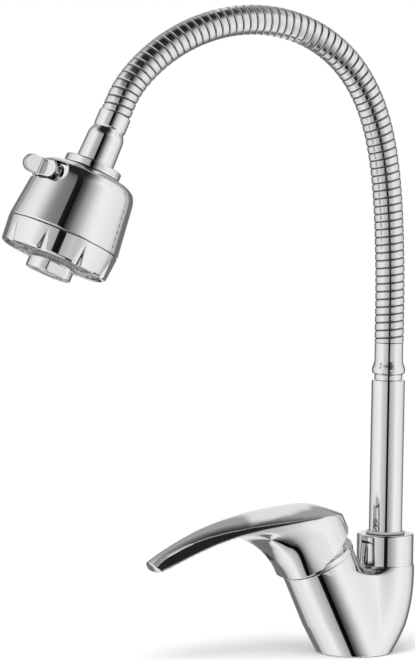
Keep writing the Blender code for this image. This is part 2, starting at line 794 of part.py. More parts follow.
def make_carrier(roof, slider_high):
    """The turning carrier in the case's neck, slotted for the stem, and its pin."""
    flange_top = roof - GAP
    carrier_profile = [
        (0.0, CARRIER_TOP),
        (CARRIER_RADIUS, CARRIER_TOP),
        (CARRIER_RADIUS, flange_top),
        (CARRIER_FLANGE_RADIUS, flange_top),
        (CARRIER_FLANGE_RADIUS, flange_top - CARRIER_FLANGE),
        (0.0, flange_top - CARRIER_FLANGE),
    ]
    carrier = turned("spindle_carrier", carrier_profile, CARTRIDGE, WHITE_PLASTIC, closed=False)
    half_width = STEM_WIDTH / 2 + SLIDE_GAP
    reach = CARRIER_RADIUS - CASE_WALL
    slot_foot = flange_top - CARRIER_FLANGE - OVERRUN
    slot_head = CARRIER_TOP + OVERRUN
    slot = box_mesh("stem_slot", (-half_width, -reach, slot_foot), (half_width, reach, slot_head))
    boolean(carrier, add_cutter("stem_slot", slot, CARTRIDGE))
    pin_half = CARRIER_RADIUS - GAP * 2
    bore_half = CARRIER_RADIUS + OVERRUN
    bore_ends = ((-bore_half, 0.0, PIVOT_HEIGHT), (bore_half, 0.0, PIVOT_HEIGHT))
    drill(carrier, "pin_bore", CARTRIDGE, *bore_ends, PIN_RADIUS + GAP)
    pin = rod_mesh("lift_pin", (-pin_half, 0.0, PIVOT_HEIGHT), (pin_half, 0.0, PIVOT_HEIGHT), PIN_RADIUS)
    add_piece("lift_pin", pin, CARTRIDGE, STEEL)


def make_stem(slider_low):
    """The rocking stem: a square top for the handle, an eye on the pin and a toe in the slider."""
    half = STEM_WIDTH / 2
    toe = STEM_TOE / 2
    rise = -PIVOT_HEIGHT
    eye = half * STEM_EYE_SHARE
    outline = [
        (-half, STEM_TOP + rise),
        (-half, eye),
        (-toe, -eye),
        (-toe, -STEM_ARM + CHAMFER * 2),
        (-toe + CHAMFER * 2, -STEM_ARM),
        (toe - CHAMFER * 2, -STEM_ARM),
        (toe, -STEM_ARM + CHAMFER * 2),
        (toe, -eye),
        (half, eye),
        (half, STEM_TOP + rise),
    ]
    rings = [[Vector((x, y, z)) for y, z in outline] for x in (-half, half)]
    stem = add_piece("cartridge_stem", loft("cartridge_stem", rings), LIFT, BRASS)
    side = half + OVERRUN
    drill(stem, "stem_eye", LIFT, (-side, 0.0, 0.0), (side, 0.0, 0.0), PIN_RADIUS + GAP)


def blade_ring(back_share, top_share, under_share, width_share):
    """One section of the lever blade: a crowned top over a flatter underside."""
    back = BLADE_REACH * back_share
    top = BLADE_HEIGHT * top_share
    under = BLADE_HEIGHT * under_share
    half_width = BLADE_HALF_WIDTH * width_share
    middle = under + (top - under) * (1.0 - CROWN_SHARE) * 2
    points = []
    for i in range(SECTION_POINTS):
        angle = math.tau * i / SECTION_POINTS
        rise = math.sin(angle)
        height = (top - middle) if rise > 0 else (middle - under)
        side = math.copysign(abs(math.cos(angle)) ** BLADE_SIDE_SHARE, math.cos(angle))
        points.append(Vector((half_width * side, back, middle + height * rise - PIVOT_HEIGHT)))
    return points


def skirt_ring(height_share, front_share, depth_share, width_share):
    """One level section of the handle's skirt."""
    half_width = SKIRT_RADIUS * width_share
    half_depth = SKIRT_RADIUS * depth_share
    centre = Vector((0.0, -SKIRT_RADIUS * front_share, SKIRT_TOP * height_share - PIVOT_HEIGHT))
    ring = []
    for i in range(FINE_STEPS):
        angle = math.tau * i / FINE_STEPS
        ring.append(centre + Vector((half_width * math.cos(angle), half_depth * math.sin(angle), 0.0)))
    return ring


def make_handle():
    """Lever blade on a round skirt, hollow over the dome cap, with its screw and plug."""
    blade = loft("blade", [blade_ring(*shares) for shares in BLADE_SECTION_SHARES])
    skirt = loft("handle_lever", [skirt_ring(*shares) for shares in SKIRT_SECTION_SHARES])
    handle = add_piece("handle_lever", skirt, LIFT, CHROME)
    boolean(handle, add_cutter("blade", blade, LIFT), "UNION")

    low = -OVERRUN * 2
    dome_top = (CAVITY_RADIUS**2 - CHAMBER_RADIUS**2) ** 0.5
    dome = arc_points(CAVITY_RADIUS, 0.0, 0.0, dome_top, DOME_ARC_COUNT)
    cavity = [
        (0.0, low),
        (CAVITY_RADIUS, low),
        *dome,
        (CHAMBER_RADIUS, CHAMBER_TOP - PIVOT_HEIGHT),
        (BOSS_RADIUS, CHAMBER_TOP - PIVOT_HEIGHT),
        (BOSS_RADIUS, BOSS_BOTTOM - PIVOT_HEIGHT),
        (0.0, BOSS_BOTTOM - PIVOT_HEIGHT),
    ]
    boolean(handle, turned_cutter("handle_cavity", cavity[::-1], LIFT, closed=False))
    make_relief(handle)
    half = STEM_WIDTH / 2 + GAP
    socket_top = STEM_TOP - PIVOT_HEIGHT + GAP
    socket = box_mesh("stem_socket", (-half, -half, 0.0), (half, half, socket_top))
    boolean(handle, add_cutter("stem_socket", socket, LIFT))

    level = SCREW_HEIGHT - PIVOT_HEIGHT
    plug_back = PLUG_FRONT - PLUG_LENGTH
    screw_front = plug_back - GAP
    hole = rod_mesh("screw_hole", (0.0, -plug_back, level), (0.0, 0.0, level), SCREW_RADIUS + GAP)
    boolean(handle, add_cutter("screw_hole", hole, LIFT))
    recess_mouth = (0.0, -PLUG_FRONT - OVERRUN * 2, level)
    recess_floor = (0.0, GAP - plug_back, level)
    counterbore = rod_mesh("plug_recess", recess_mouth, recess_floor, PLUG_RADIUS + GAP, PLUG_STEPS)
    boolean(handle, add_cutter("plug_recess", counterbore, LIFT))
    grub_back = max(screw_front - SCREW_LENGTH, half + GAP)
    grub = rod_mesh("handle_screw", (0.0, -screw_front, level), (0.0, -grub_back, level), SCREW_RADIUS)
    add_piece("handle_screw", grub, LIFT, STEEL)
    plug_ends = ((0.0, -PLUG_FRONT, level), (0.0, -plug_back, level))
    plug = rod_mesh("indicator_plug", *plug_ends, PLUG_RADIUS, PLUG_STEPS)
    add_piece("indicator_plug", plug, LIFT, DARK_PLASTIC)


def make_relief(handle):
    """Cut the back of the skirt so that it comes down level with the band at full lift."""
    lift = math.radians(LIFT_ANGLE)
    clear = CAP_BAND_HEIGHT + CHAMFER + GAP - PIVOT_HEIGHT
    rise = clear / math.cos(lift)
    depth = SKIRT_RADIUS * 2
    wedge = box_mesh("lift_relief", (-depth, -depth, -depth), (depth, depth, 0.0))
    wedge.transform(Matrix.Translation((0.0, 0.0, rise)) @ Matrix.Rotation(lift, 4, "X"))
    boolean(handle, add_cutter("lift_relief", wedge, LIFT))


def make_riser():
    """Riser tube, its seals, snap ring, bush, collar, wiper and the lower ferrule."""
    groove_low = SEAL_LOW_Z
    clip_head = CLIP_Z + CLIP_WIDTH + GAP
    clip_foot = CLIP_Z - GAP
    outer = [(RISER_RADIUS, RISER_TOP_Z), (RISER_RADIUS, clip_head)]
    outer += [(GROOVE_RADIUS, clip_head), (GROOVE_RADIUS, clip_foot), (RISER_RADIUS, clip_foot)]
    for number in (1, 0):
        base = groove_low + number * SEAL_PITCH
        outer += [(RISER_RADIUS, base + GROOVE_WIDTH), (GROOVE_RADIUS, base + GROOVE_WIDTH)]
        outer += [(GROOVE_RADIUS, base), (RISER_RADIUS, base)]
    outer += [(RISER_RADIUS, RISER_FOOT_Z), (RISER_BORE_RADIUS, RISER_FOOT_Z)]
    outer += [(RISER_BORE_RADIUS, RISER_TOP_Z)]
    turned("riser_tube", outer, RISER_AXIS, CHROME)
    seal_radius = (GROOVE_RADIUS + SEAL_BORE_RADIUS) / 2
    for number, word in enumerate(("lower", "upper")):
        middle = groove_low + number * SEAL_PITCH + GROOVE_WIDTH / 2
        torus(f"riser_seal_{word}", RISER_AXIS, seal_radius, RING_SECTION, middle)
    clip_bore = GROOVE_RADIUS + GAP
    clip_section = ring_profile(CLIP_RADIUS, clip_bore, CLIP_Z + CLIP_WIDTH, CLIP_Z)
    clip = turned("riser_snap_ring", clip_section, RISER_AXIS, STEEL, SMALL_STEPS)
    opening = box_mesh(
        "snap_ring_gap",
        (-CLIP_WIDTH, 0.0, CLIP_Z - OVERRUN),
        (CLIP_WIDTH, CLIP_RADIUS + OVERRUN, CLIP_Z + CLIP_WIDTH + OVERRUN),
    )
    boolean(clip, add_cutter("snap_ring_gap", opening, RISER_AXIS))

    spigot_top = HUB_TOP_Z + SPIGOT_HEIGHT
    flange_low = spigot_top + GAP
    bush_bore = RISER_RADIUS + GAP
    bush = [
        (BUSH_FLANGE_RADIUS, flange_low + BUSH_FLANGE),
        (BUSH_FLANGE_RADIUS, flange_low),
        (BUSH_RADIUS, flange_low),
        (BUSH_RADIUS, BUSH_BOTTOM_Z),
        (bush_bore, BUSH_BOTTOM_Z),
        (bush_bore, flange_low + BUSH_FLANGE),
    ]
    turned("riser_bush", bush, RISER_AXIS, WHITE_PLASTIC)
    collar_bore = SPIGOT_RADIUS + SLIDE_GAP
    collar_low = HUB_TOP_Z + GAP
    roof = COLLAR_TOP_Z - COLLAR_ROOF
    collar = [
        (COLLAR_RADIUS - COLLAR_EDGE, COLLAR_TOP_Z),
        (COLLAR_RADIUS, COLLAR_TOP_Z - COLLAR_EDGE),
        (COLLAR_RADIUS, collar_low),
        (collar_bore, collar_low),
        (collar_bore, roof),
        (bush_bore, roof),
        (bush_bore, COLLAR_TOP_Z),
    ]
    turned("riser_collar", collar, RISER_AXIS, CHROME, FINE_STEPS)
    wiper_radius = RISER_RADIUS + GAP + WIPER_SECTION
    wiper_height = COLLAR_TOP_Z + GAP + WIPER_SECTION
    torus("riser_wiper", RISER_AXIS, wiper_radius, WIPER_SECTION, wiper_height, STEPS)
    make_lower_ferrule()


def make_lower_ferrule():
    """Spigot in the riser, bulge, and the tube and tail that the gooseneck sits on."""
    spigot_radius = RISER_BORE_RADIUS - GAP
    shoulder = RISER_TOP_Z + GAP
    profile = [
        (FERRULE_TAIL_RADIUS, FERRULE_TOP_Z + FERRULE_TAIL_HEIGHT),
        (FERRULE_TAIL_RADIUS, FERRULE_TOP_Z),
        (FERRULE_TUBE_RADIUS - CHAMFER, FERRULE_TOP_Z),
        (FERRULE_TUBE_RADIUS, FERRULE_TOP_Z - CHAMFER),
        (FERRULE_TUBE_RADIUS, FERRULE_TUBE_Z),
        (FERRULE_BULGE_RADIUS, FERRULE_BULGE_Z),
        (FERRULE_BULGE_RADIUS, FERRULE_NECK_TOP_Z + CHAMFER * 3),
        (FERRULE_BULGE_RADIUS - CHAMFER, FERRULE_NECK_TOP_Z + CHAMFER),
        (FERRULE_NECK_RADIUS, FERRULE_NECK_TOP_Z),
        (FERRULE_NECK_RADIUS, shoulder),
        (spigot_radius, shoulder),
        (spigot_radius, RISER_TOP_Z - FERRULE_SPIGOT_DEPTH),
        (FERRULE_BORE_RADIUS, RISER_TOP_Z - FERRULE_SPIGOT_DEPTH),
        (FERRULE_BORE_RADIUS, FERRULE_TOP_Z + FERRULE_TAIL_HEIGHT),
    ]
    turned("lower_ferrule", profile, RISER_AXIS, CHROME)


def hose_stations():
    """Distances along the hose at which its lean is set."""
    links = [number * LINK_LENGTH for number in range(2, LINK_COUNT)]
    end = LINK_COUNT * LINK_LENGTH
    return [0.0, 2 * HOSE_RADIUS, *links, end - LAST_STRAIGHT, end]


def hose_point(distance):
    """Place (y, z) and lean of the hose's centreline: straight runs and tangent arcs."""
    stations = hose_stations()
    y, z, lean = HUB_Y, FERRULE_TOP_Z + GAP, 0.0
    spans = list(zip(stations, stations[1:], HOSE_LEAN_ANGLES, HOSE_LEAN_ANGLES[1:]))
    for number, (low, high, first, last) in enumerate(spans):
        lean = math.radians(first)
        final = number == len(spans) - 1
        run = (distance if final else min(distance, high)) - low
        if number == 0:
            run = min(distance, high) - low
        elif run <= 0.0:
            break
        turn = math.radians(last - first) / (high - low)
        if turn:
            end_lean = lean + turn * run
            y -= (math.cos(lean) - math.cos(end_lean)) / turn
            z += (math.sin(end_lean) - math.sin(lean)) / turn
            lean = end_lean
        else:
            y -= math.sin(lean) * run
            z += math.cos(lean) * run
        if distance <= high and not final:
            break
    return Vector((0.0, y, z)), lean


def link_profile(number):
    """Distances along one link and the radius there: lip, ribs, and ball or seat."""
    start = (number - 1) * LINK_LENGTH
    end = number * LINK_LENGTH
    pitch = LINK_LENGTH / LINK_RIBS
    band = pitch * RIB_SHARE
    lead = start - LIP_LENGTH
    points = []
    for rib in range(LINK_RIBS):
        first = lead + rib * pitch
        last = first + band
        if rib == 0 and number == 1:
            first = start
            points += [(first, HOSE_RADIUS)]
        elif rib == 0:
            points += [(first, LIP_RADIUS), (first + LIP_CHAMFER, HOSE_RADIUS)]
        else:
            points += [(first, HOSE_RADIUS)]
        if rib < LINK_RIBS - 1:
            points += [(last, VALLEY_RADIUS)]
        elif number < LINK_COUNT:
            points += [(end - BALL_NECK, VALLEY_RADIUS)]
        else:
            points += [(end - LIP_CHAMFER, HOSE_RADIUS), (end, HOSE_SEAT_RADIUS)]
            points += [(end + HOSE_SEAT_DEPTH, HOSE_SEAT_RADIUS)]
    if number < LINK_COUNT:
        first = STEP_LENGTH - BALL_NECK
        steps = [first + (BALL_END - first) * i / (BALL_POINT_COUNT - 1) for i in range(BALL_POINT_COUNT)]
        points += [(end + t, (BALL_RADIUS**2 - t**2) ** 0.5) for t in steps]
    return points


def tube_mesh(name, stops, anchor, resolution):
    """A capped tube through (distance, radius) stops of the centreline, as a mesh about anchor."""
    curve = bpy.data.curves.new(name, "CURVE")
    curve.dimensions = "3D"
    curve.bevel_depth = HOSE_RADIUS
    curve.bevel_resolution = resolution
    curve.use_fill_caps = True
    spline = curve.splines.new("POLY")
    spline.points.add(len(stops) - 1)
    for point, (distance, radius) in zip(spline.points, stops):
        place, _ = hose_point(distance)
        point.co = (*(place - anchor), 1.0)
        point.radius = radius / HOSE_RADIUS
    tube = bpy.data.objects.new(name, curve)
    TOOLS.objects.link(tube)
    tube.location = anchor
    bpy.context.view_layer.update()
    view = bpy.context.evaluated_depsgraph_get()
    mesh = bpy.data.meshes.new_from_object(tube.evaluated_get(view))
    shape = bmesh.new()
    shape.from_mesh(mesh)
    bmesh.ops.remove_doubles(shape, verts=shape.verts, dist=MERGE)
    bmesh.ops.recalc_face_normals(shape, faces=shape.faces)
    shape.to_mesh(mesh)
    shape.free()
    bpy.data.objects.remove(tube, do_unlink=True)
    bpy.data.curves.remove(curve)
    return mesh


def make_gooseneck():
    """Fifteen ribbed links: each ends in a ball that the next one's cup turns on."""
    parent = RISER_AXIS
    for number in range(1, LINK_COUNT + 1):
        start = (number - 1) * LINK_LENGTH
        anchor, _ = hose_point(start)
        if number > 1:
            place = parent.matrix_world.inverted() @ Matrix.Translation(anchor)
            parent = frame_empty(f"link_axis_{number:02d}", place, parent)
        else:
            anchor = RISER_AXIS.matrix_world.translation.copy()
        name = f"hose_link_{number:02d}"
        ribbed = tube_mesh(name, link_profile(number), anchor, HOSE_SIDES_RESOLUTION)
        link = add_piece(name, ribbed, parent, STEEL, RIB_SMOOTH_ANGLE)
        end = start + LINK_LENGTH + (BALL_END if number < LINK_COUNT else HOSE_SEAT_DEPTH) + OVERRUN
        first = start - LIP_LENGTH - OVERRUN
        spans = LINK_RIBS // 2
        stops = [(first + (end - first) * i / spans, HOSE_BORE_RADIUS) for i in range(spans + 1)]
        bore = tube_mesh(name + "_bore", stops, anchor, BORE_SIDES_RESOLUTION)
        boolean(link, add_cutter(name + "_bore", bore, parent))
        if number > 1:
            run = [CUP_DEPTH * i / (CUP_POINT_COUNT - 1) for i in range(CUP_POINT_COUNT)]
            stops = [(start - LIP_LENGTH - OVERRUN, CUP_RADIUS - LIP_CHAMFER / 2)]
            stops += [(start + t, (CUP_RADIUS**2 - t**2) ** 0.5) for t in run]
            cup = tube_mesh(name + "_cup", stops, anchor, HOSE_SIDES_RESOLUTION)
            boolean(link, add_cutter(name + "_cup", cup, parent))
    return parent


def make_upper_ferrule():
    """Crimped cap on the hose, sleeve, and the grooved pipe that the head swivels on."""
    ring_top = -PIPE_RING_AT + PIPE_GROOVE_WIDTH / 2
    ring_low = ring_top - PIPE_GROOVE_WIDTH
    clip_top = -PIPE_CLIP_AT + CLIP_WIDTH / 2
    profile = [
        (CRIMP_RADIUS - CHAMFER, 0.0),
        (CRIMP_RADIUS, -CHAMFER),
        (CRIMP_RADIUS, -CRIMP_LENGTH),
        (SLEEVE_TOP_RADIUS, -SLEEVE_START),
        (SLEEVE_RADIUS, -SLEEVE_END),
        (SPIGOT_PIPE_RADIUS, -SLEEVE_END),
        (SPIGOT_PIPE_RADIUS, ring_top),
        (PIPE_GROOVE_RADIUS, ring_top),
        (PIPE_GROOVE_RADIUS, ring_low),
        (SPIGOT_PIPE_RADIUS, ring_low),
        (SPIGOT_PIPE_RADIUS, clip_top + GAP),
        (PIPE_GROOVE_RADIUS, clip_top + GAP),
        (PIPE_GROOVE_RADIUS, clip_top - CLIP_WIDTH - GAP),
        (SPIGOT_PIPE_RADIUS, clip_top - CLIP_WIDTH - GAP),
        (SPIGOT_PIPE_RADIUS, -SPIGOT_PIPE_END),
        (STEM_BORE_RADIUS, -SPIGOT_PIPE_END),
        (STEM_BORE_RADIUS, -HOSE_SEAT_DEPTH - GAP * 2),
        (CRIMP_BORE_RADIUS, -HOSE_SEAT_DEPTH - GAP * 2),
        (CRIMP_BORE_RADIUS, 0.0),
    ]
    turned("upper_ferrule", profile, HEAD_AXIS, CHROME)
    seal_radius = (PIPE_GROOVE_RADIUS + CORE_BORE_RADIUS) / 2
    torus("swivel_seal", HEAD_AXIS, seal_radius, PIPE_RING_SECTION, -PIPE_RING_AT)
    clip = turned(
        "swivel_clip",
        ring_profile(PIPE_CLIP_RADIUS, PIPE_GROOVE_RADIUS + GAP, clip_top, clip_top - CLIP_WIDTH),
        HEAD_AXIS,
        STEEL,
        SMALL_STEPS,
    )
    opening = box_mesh(
        "swivel_clip_gap",
        (-CLIP_WIDTH, 0.0, clip_top - CLIP_WIDTH - OVERRUN),
        (CLIP_WIDTH, PIPE_CLIP_RADIUS + OVERRUN, clip_top + OVERRUN),
    )
    boolean(clip, add_cutter("swivel_clip_gap", opening, HEAD_AXIS))


def make_head():
    """Collar, shell with its slot, core, divider, face ring, spray face and aerator."""
    collar = ring_profile(HEAD_COLLAR_RADIUS, CORE_BORE_RADIUS, -HEAD_COLLAR_TOP, -HEAD_COLLAR_END, CHAMFER)
    turned("head_collar", collar, HEAD_AXIS, CHROME, FINE_STEPS)
    run = SHELL_SPLIT - SHELL_TOP
    outline = [(SHELL_RADIUS * r, -SHELL_TOP - run * h) for r, h in SHELL_OUTLINE_SHARES]
    shell = turned("head_shell", outline, HEAD_AXIS, CHROME, FINE_STEPS, closed=False)
    wall = shell.modifiers.new("wall", "SOLIDIFY")
    wall.thickness = SHELL_WALL
    wall.offset = -1.0
    wall.use_even_offset = True
    span = (DRUM_RADIUS - OVERRUN, PLATE_RADIUS + OVERRUN)
    slot = sector_mesh("mode_slot", span, SLOT_HALF_HEIGHT, SLOT_HALF_ANGLE)
    boolean(shell, add_cutter("mode_slot", slot, HEAD_AXIS))

    core = [
        (CORE_NECK_RADIUS, -HEAD_COLLAR_END - GAP),
        (CORE_NECK_RADIUS, -CORE_FLANGE_TOP),
        (CORE_FLANGE_RADIUS, -CORE_FLANGE_TOP),
        (CORE_FLANGE_RADIUS, -CORE_FLANGE_TOP - CORE_FLANGE),
        (CORE_HUB_RADIUS, -CORE_FLANGE_TOP - CORE_FLANGE),
        (CORE_HUB_RADIUS, -CORE_HUB_END),
        (CLIP_POCKET_RADIUS, -CORE_HUB_END),
        (CLIP_POCKET_RADIUS, -CLIP_POCKET_TOP),
        (CORE_BORE_RADIUS, -CLIP_POCKET_TOP),
        (CORE_BORE_RADIUS, -HEAD_COLLAR_END - GAP),
    ]
    turned("head_core", core, HEAD_AXIS, GREY_PLASTIC)
    make_divider()
    make_face_ring()
    make_spray_face()
    make_aerator()


def make_divider():
    """The chamber plate with a centre tube for the aerator and ports for the spray."""
    low = -DIVIDER_TOP - DIVIDER_PLATE
    profile = [
        (DIVIDER_RADIUS, -DIVIDER_TOP),
        (DIVIDER_RADIUS, DIVIDER_FLANGE - DIVIDER_SKIRT_END),
        (DIVIDER_FLANGE_RADIUS, DIVIDER_FLANGE - DIVIDER_SKIRT_END),
        (DIVIDER_FLANGE_RADIUS, -DIVIDER_SKIRT_END),
        (DIVIDER_RADIUS - DIVIDER_SKIRT_WALL, -DIVIDER_SKIRT_END),
        (DIVIDER_RADIUS - DIVIDER_SKIRT_WALL, low),
        (DIVIDER_TUBE_RADIUS, low),
        (DIVIDER_TUBE_RADIUS, -AERATOR_NECK_TOP + GAP * 2),
        (DIVIDER_TUBE_BORE_RADIUS, -AERATOR_NECK_TOP + GAP * 2),
        (DIVIDER_TUBE_BORE_RADIUS, -DIVIDER_TOP),
    ]
    divider = turned("flow_divider", profile, HEAD_AXIS, GREY_PLASTIC, SMALL_STEPS)
    ports = (DIVIDER_PORT_CIRCLE, DIVIDER_PORT_COUNT)
    span = (low - OVERRUN, OVERRUN - DIVIDER_TOP)
    drill_ring(divider, "divider_ports", HEAD_AXIS, ports, DIVIDER_PORT_RADIUS, span, steps=STREAM_STEPS)


def make_face_ring():
    """The lower ring with its row of tapering notches."""
    inner = RING_TOP_RADIUS - RING_WALL
    top = -SHELL_SPLIT - GAP
    profile = [
        (RING_TOP_RADIUS, top),
        (RING_RIM_RADIUS, -RING_RIM_AT),
        (RING_RIM_RADIUS - CHAMFER, -RING_RIM_AT - CHAMFER * 2),
        (RING_LIP_RADIUS + CHAMFER * 2, -RING_END),
        (RING_LIP_RADIUS, -RING_END),
        (RING_LIP_RADIUS, -RING_LEDGE),
        (inner, -RING_LEDGE),
        (inner, top),
    ]
    ring = turned("face_ring", profile, HEAD_AXIS, CHROME, FINE_STEPS)
    deep = RING_RIM_RADIUS + NOTCH_RADIUS / 3
    end = RING_END + OVERRUN
    for number in range(NOTCH_COUNT):
        angle = math.radians(NOTCH_FIRST_ANGLE) + math.tau * number / NOTCH_COUNT
        way = Vector((math.sin(angle), -math.cos(angle), 0.0))
        start = way * (RING_TOP_RADIUS + GAP) + Vector((0.0, 0.0, -NOTCH_TOP))
        finish = way * deep + Vector((0.0, 0.0, -end))
        name = f"notch_{number}"
        cone = rod_mesh(name, start, finish, GAP, PORT_STEPS, NOTCH_RADIUS)
        boolean(ring, add_cutter(name, cone, HEAD_AXIS))


def make_spray_face():
    """The domed grey face with rings of nozzle holes."""
    top = -FACE_TOP
    profile = [
        (FACE_BORE_RADIUS, top),
        (FACE_RADIUS, top),
        (FACE_RADIUS, top - FACE_RIM),
        ((FACE_RADIUS + FACE_BORE_RADIUS) / 2, top - FACE_RIM - FACE_CROWN * 2 / 3),
        (FACE_BORE_RADIUS, top - FACE_RIM - FACE_CROWN),
    ]
    face = turned("spray_face", profile, HEAD_AXIS, GREY_PLASTIC, FINE_STEPS)
    low = top - FACE_RIM - FACE_CROWN - OVERRUN
    high = top - FACE_RIM + NOZZLE_DEPTH
    for row, (share, count) in enumerate(NOZZLE_CIRCLE_SHARES):
        nozzles = (FACE_RADIUS * share, count)
        name = f"nozzles_{row}"
        drill_ring(face, name, HEAD_AXIS, nozzles, NOZZLE_RADIUS, (low, high), row / count, NOZZLE_STEPS)


def make_aerator():
    """The aerator with wrench flats, its insert and its washer."""
    neck_top = -AERATOR_NECK_TOP
    profile = [
        (AERATOR_NECK_RADIUS, neck_top),
        (AERATOR_NECK_RADIUS, -AERATOR_TOP),
        (AERATOR_RADIUS, -AERATOR_TOP),
        (AERATOR_RADIUS, -AERATOR_END + CHAMFER),
        (AERATOR_RADIUS - CHAMFER, -AERATOR_END),
        (AERATOR_MOUTH_RADIUS, -AERATOR_END),
        (AERATOR_MOUTH_RADIUS, -AERATOR_LEDGE - INSERT_THICKNESS - GAP),
        (AERATOR_BORE_RADIUS, -AERATOR_LEDGE - INSERT_THICKNESS - GAP),
        (AERATOR_BORE_RADIUS, neck_top),
    ]
    aerator = turned("aerator_body", profile, HEAD_AXIS, CHROME, FINE_STEPS)
    span = AERATOR_RADIUS + OVERRUN
    for side, word in ((-1, "left"), (1, "right")):
        low_x, high_x = sorted((side * AERATOR_FLAT, side * span))
        foot = (low_x, -span, -AERATOR_END - OVERRUN)
        flat = box_mesh("flat_" + word, foot, (high_x, span, -AERATOR_FLAT_TOP))
        boolean(aerator, add_cutter("flat_" + word, flat, HEAD_AXIS))
    insert_radius = AERATOR_BORE_RADIUS - GAP
    insert_top = -AERATOR_LEDGE
    insert = turned(
        "aerator_insert",
        solid_profile(insert_radius, insert_top, insert_top - INSERT_THICKNESS),
        HEAD_AXIS,
        WHITE_PLASTIC,
        closed=False,
    )
    low, high = insert_top - INSERT_THICKNESS - OVERRUN, insert_top + OVERRUN
    streams = (insert_radius * INSERT_CIRCLE_SHARE, INSERT_HOLE_COUNT)
    drill_ring(insert, "streams", HEAD_AXIS, streams, INSERT_HOLE_RADIUS, (low, high), steps=STREAM_STEPS)
    washer_top = insert_top + GAP + WASHER_THICKNESS
    washer = ring_profile(insert_radius, DIVIDER_TUBE_BORE_RADIUS, washer_top, insert_top + GAP)
    turned("aerator_washer", washer, HEAD_AXIS, RUBBER, SMALL_STEPS)


def sector_mesh(name, span, half_height, half_angle):
    """A stadium-ended sector from an inner to an outer radius, centred on the slot's level."""
    inner, outer = span
    end_angle = math.degrees(half_height / outer)
    shape_rings = []
    for i in range(PLATE_STEPS + 1):
        share = 2.0 * i / PLATE_STEPS - 1.0
        angle = half_angle * math.sin(share * math.pi / 2)
        over = max(0.0, abs(angle) - (half_angle - end_angle)) / end_angle
        high = half_height * max(PLATE_END_SHARE, max(0.0, 1.0 - over**2) ** 0.5)
        turn = math.radians(angle)
        way = Vector((math.sin(turn), -math.cos(turn), 0.0))
        ring = []
        for radius, side in ((inner, -1), (outer, -1), (outer, 1), (inner, 1)):
            ring.append(way * radius + Vector((0.0, 0.0, side * high - SLOT_AT)))
        shape_rings.append(ring)
    return loft(name, shape_rings)


def make_mode_lever():
    """Drum, shutter plate and round-ended fin in one piece, and the disc under it."""
    inner = DRUM_RADIUS - DRUM_WALL
    drum = [
        (DRUM_RADIUS, -DRUM_TOP),
        (DRUM_RADIUS, -DRUM_END),
        (DRUM_BORE_RADIUS, -DRUM_END),
        (DRUM_BORE_RADIUS, DRUM_WEB - DRUM_END),
        (inner, DRUM_WEB - DRUM_END),
        (inner, -DRUM_TOP),
    ]
    lever = turned("mode_lever", drum, HEAD_AXIS, CHROME, FINE_STEPS)
    span = (DRUM_RADIUS - DRUM_WALL / 2, PLATE_RADIUS)
    plate = sector_mesh("shutter_plate", span, PLATE_HALF_HEIGHT, PLATE_HALF_ANGLE)
    boolean(lever, add_cutter("shutter_plate", plate, HEAD_AXIS), "UNION")
    reach = FIN_REACH - PLATE_HALF_HEIGHT
    root = PLATE_RADIUS - DRUM_WALL
    half = math.pi / 2
    angles = [half - math.pi * i / PLATE_STEPS for i in range(PLATE_STEPS + 1)]
    outline = [(root, PLATE_HALF_HEIGHT)]
    outline += [(reach + PLATE_HALF_HEIGHT * math.cos(a), PLATE_HALF_HEIGHT * math.sin(a)) for a in angles]
    outline += [(root, -PLATE_HALF_HEIGHT)]
    rings = [[Vector((x, -r, z - SLOT_AT)) for r, z in outline] for x in (-FIN_WIDTH / 2, FIN_WIDTH / 2)]
    boolean(lever, add_cutter("fin", loft("fin", rings), HEAD_AXIS), "UNION")
    top = -DRUM_END - GAP
    disc = turned(
        "diverter_disc",
        solid_profile(DIVERTER_RADIUS, top, top - DIVERTER_THICKNESS),
        HEAD_AXIS,
        CERAMIC,
        closed=False,
    )
    low, high = top - DIVERTER_THICKNESS - OVERRUN, top + OVERRUN
    for side in (-1, 1):
        y = side * DIVERTER_PORT_OFFSET
        name = f"diverter_port_{'front' if side < 0 else 'back'}"
        drill(disc, name, HEAD_AXIS, (0.0, y, low), (0.0, y, high), DIVERTER_PORT_RADIUS, BORE_STEPS)


clear_scene()
PARTS = new_collection("flexible_kitchen_faucet")
TOOLS = new_collection("cutters")
BODY = frame_empty("body_frame", Matrix.Identity(4))
SEAT_PLACE = Matrix.Translation((0.0, SEAT_Y, SEAT_Z)) @ Matrix.Rotation(math.radians(LEAN_ANGLE), 4, "X")
CARTRIDGE = frame_empty("cartridge_axis", SEAT_PLACE, BODY)
LIFT = frame_empty("lift_axis", Matrix.Translation((0.0, 0.0, PIVOT_HEIGHT)), CARTRIDGE)
RISER_AXIS = frame_empty("riser_axis", Matrix.Translation((0.0, HUB_Y, 0.0)), BODY)
make_body()
make_cartridge()
make_handle()
make_riser()
LAST_LINK = make_gooseneck()
HOSE_END, HEAD_LEAN = hose_point(LINK_COUNT * LINK_LENGTH)
HEAD_PLACE = Matrix.Translation(HOSE_END) @ Matrix.Rotation(HEAD_LEAN - math.pi, 4, "X")
HEAD_AXIS = frame_empty("head_axis", LAST_LINK.matrix_world.inverted() @ HEAD_PLACE, LAST_LINK)
make_upper_ferrule()
make_head()
make_mode_lever()
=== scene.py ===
import math

import bpy
import numpy as np
from mathutils import Matrix, Vector


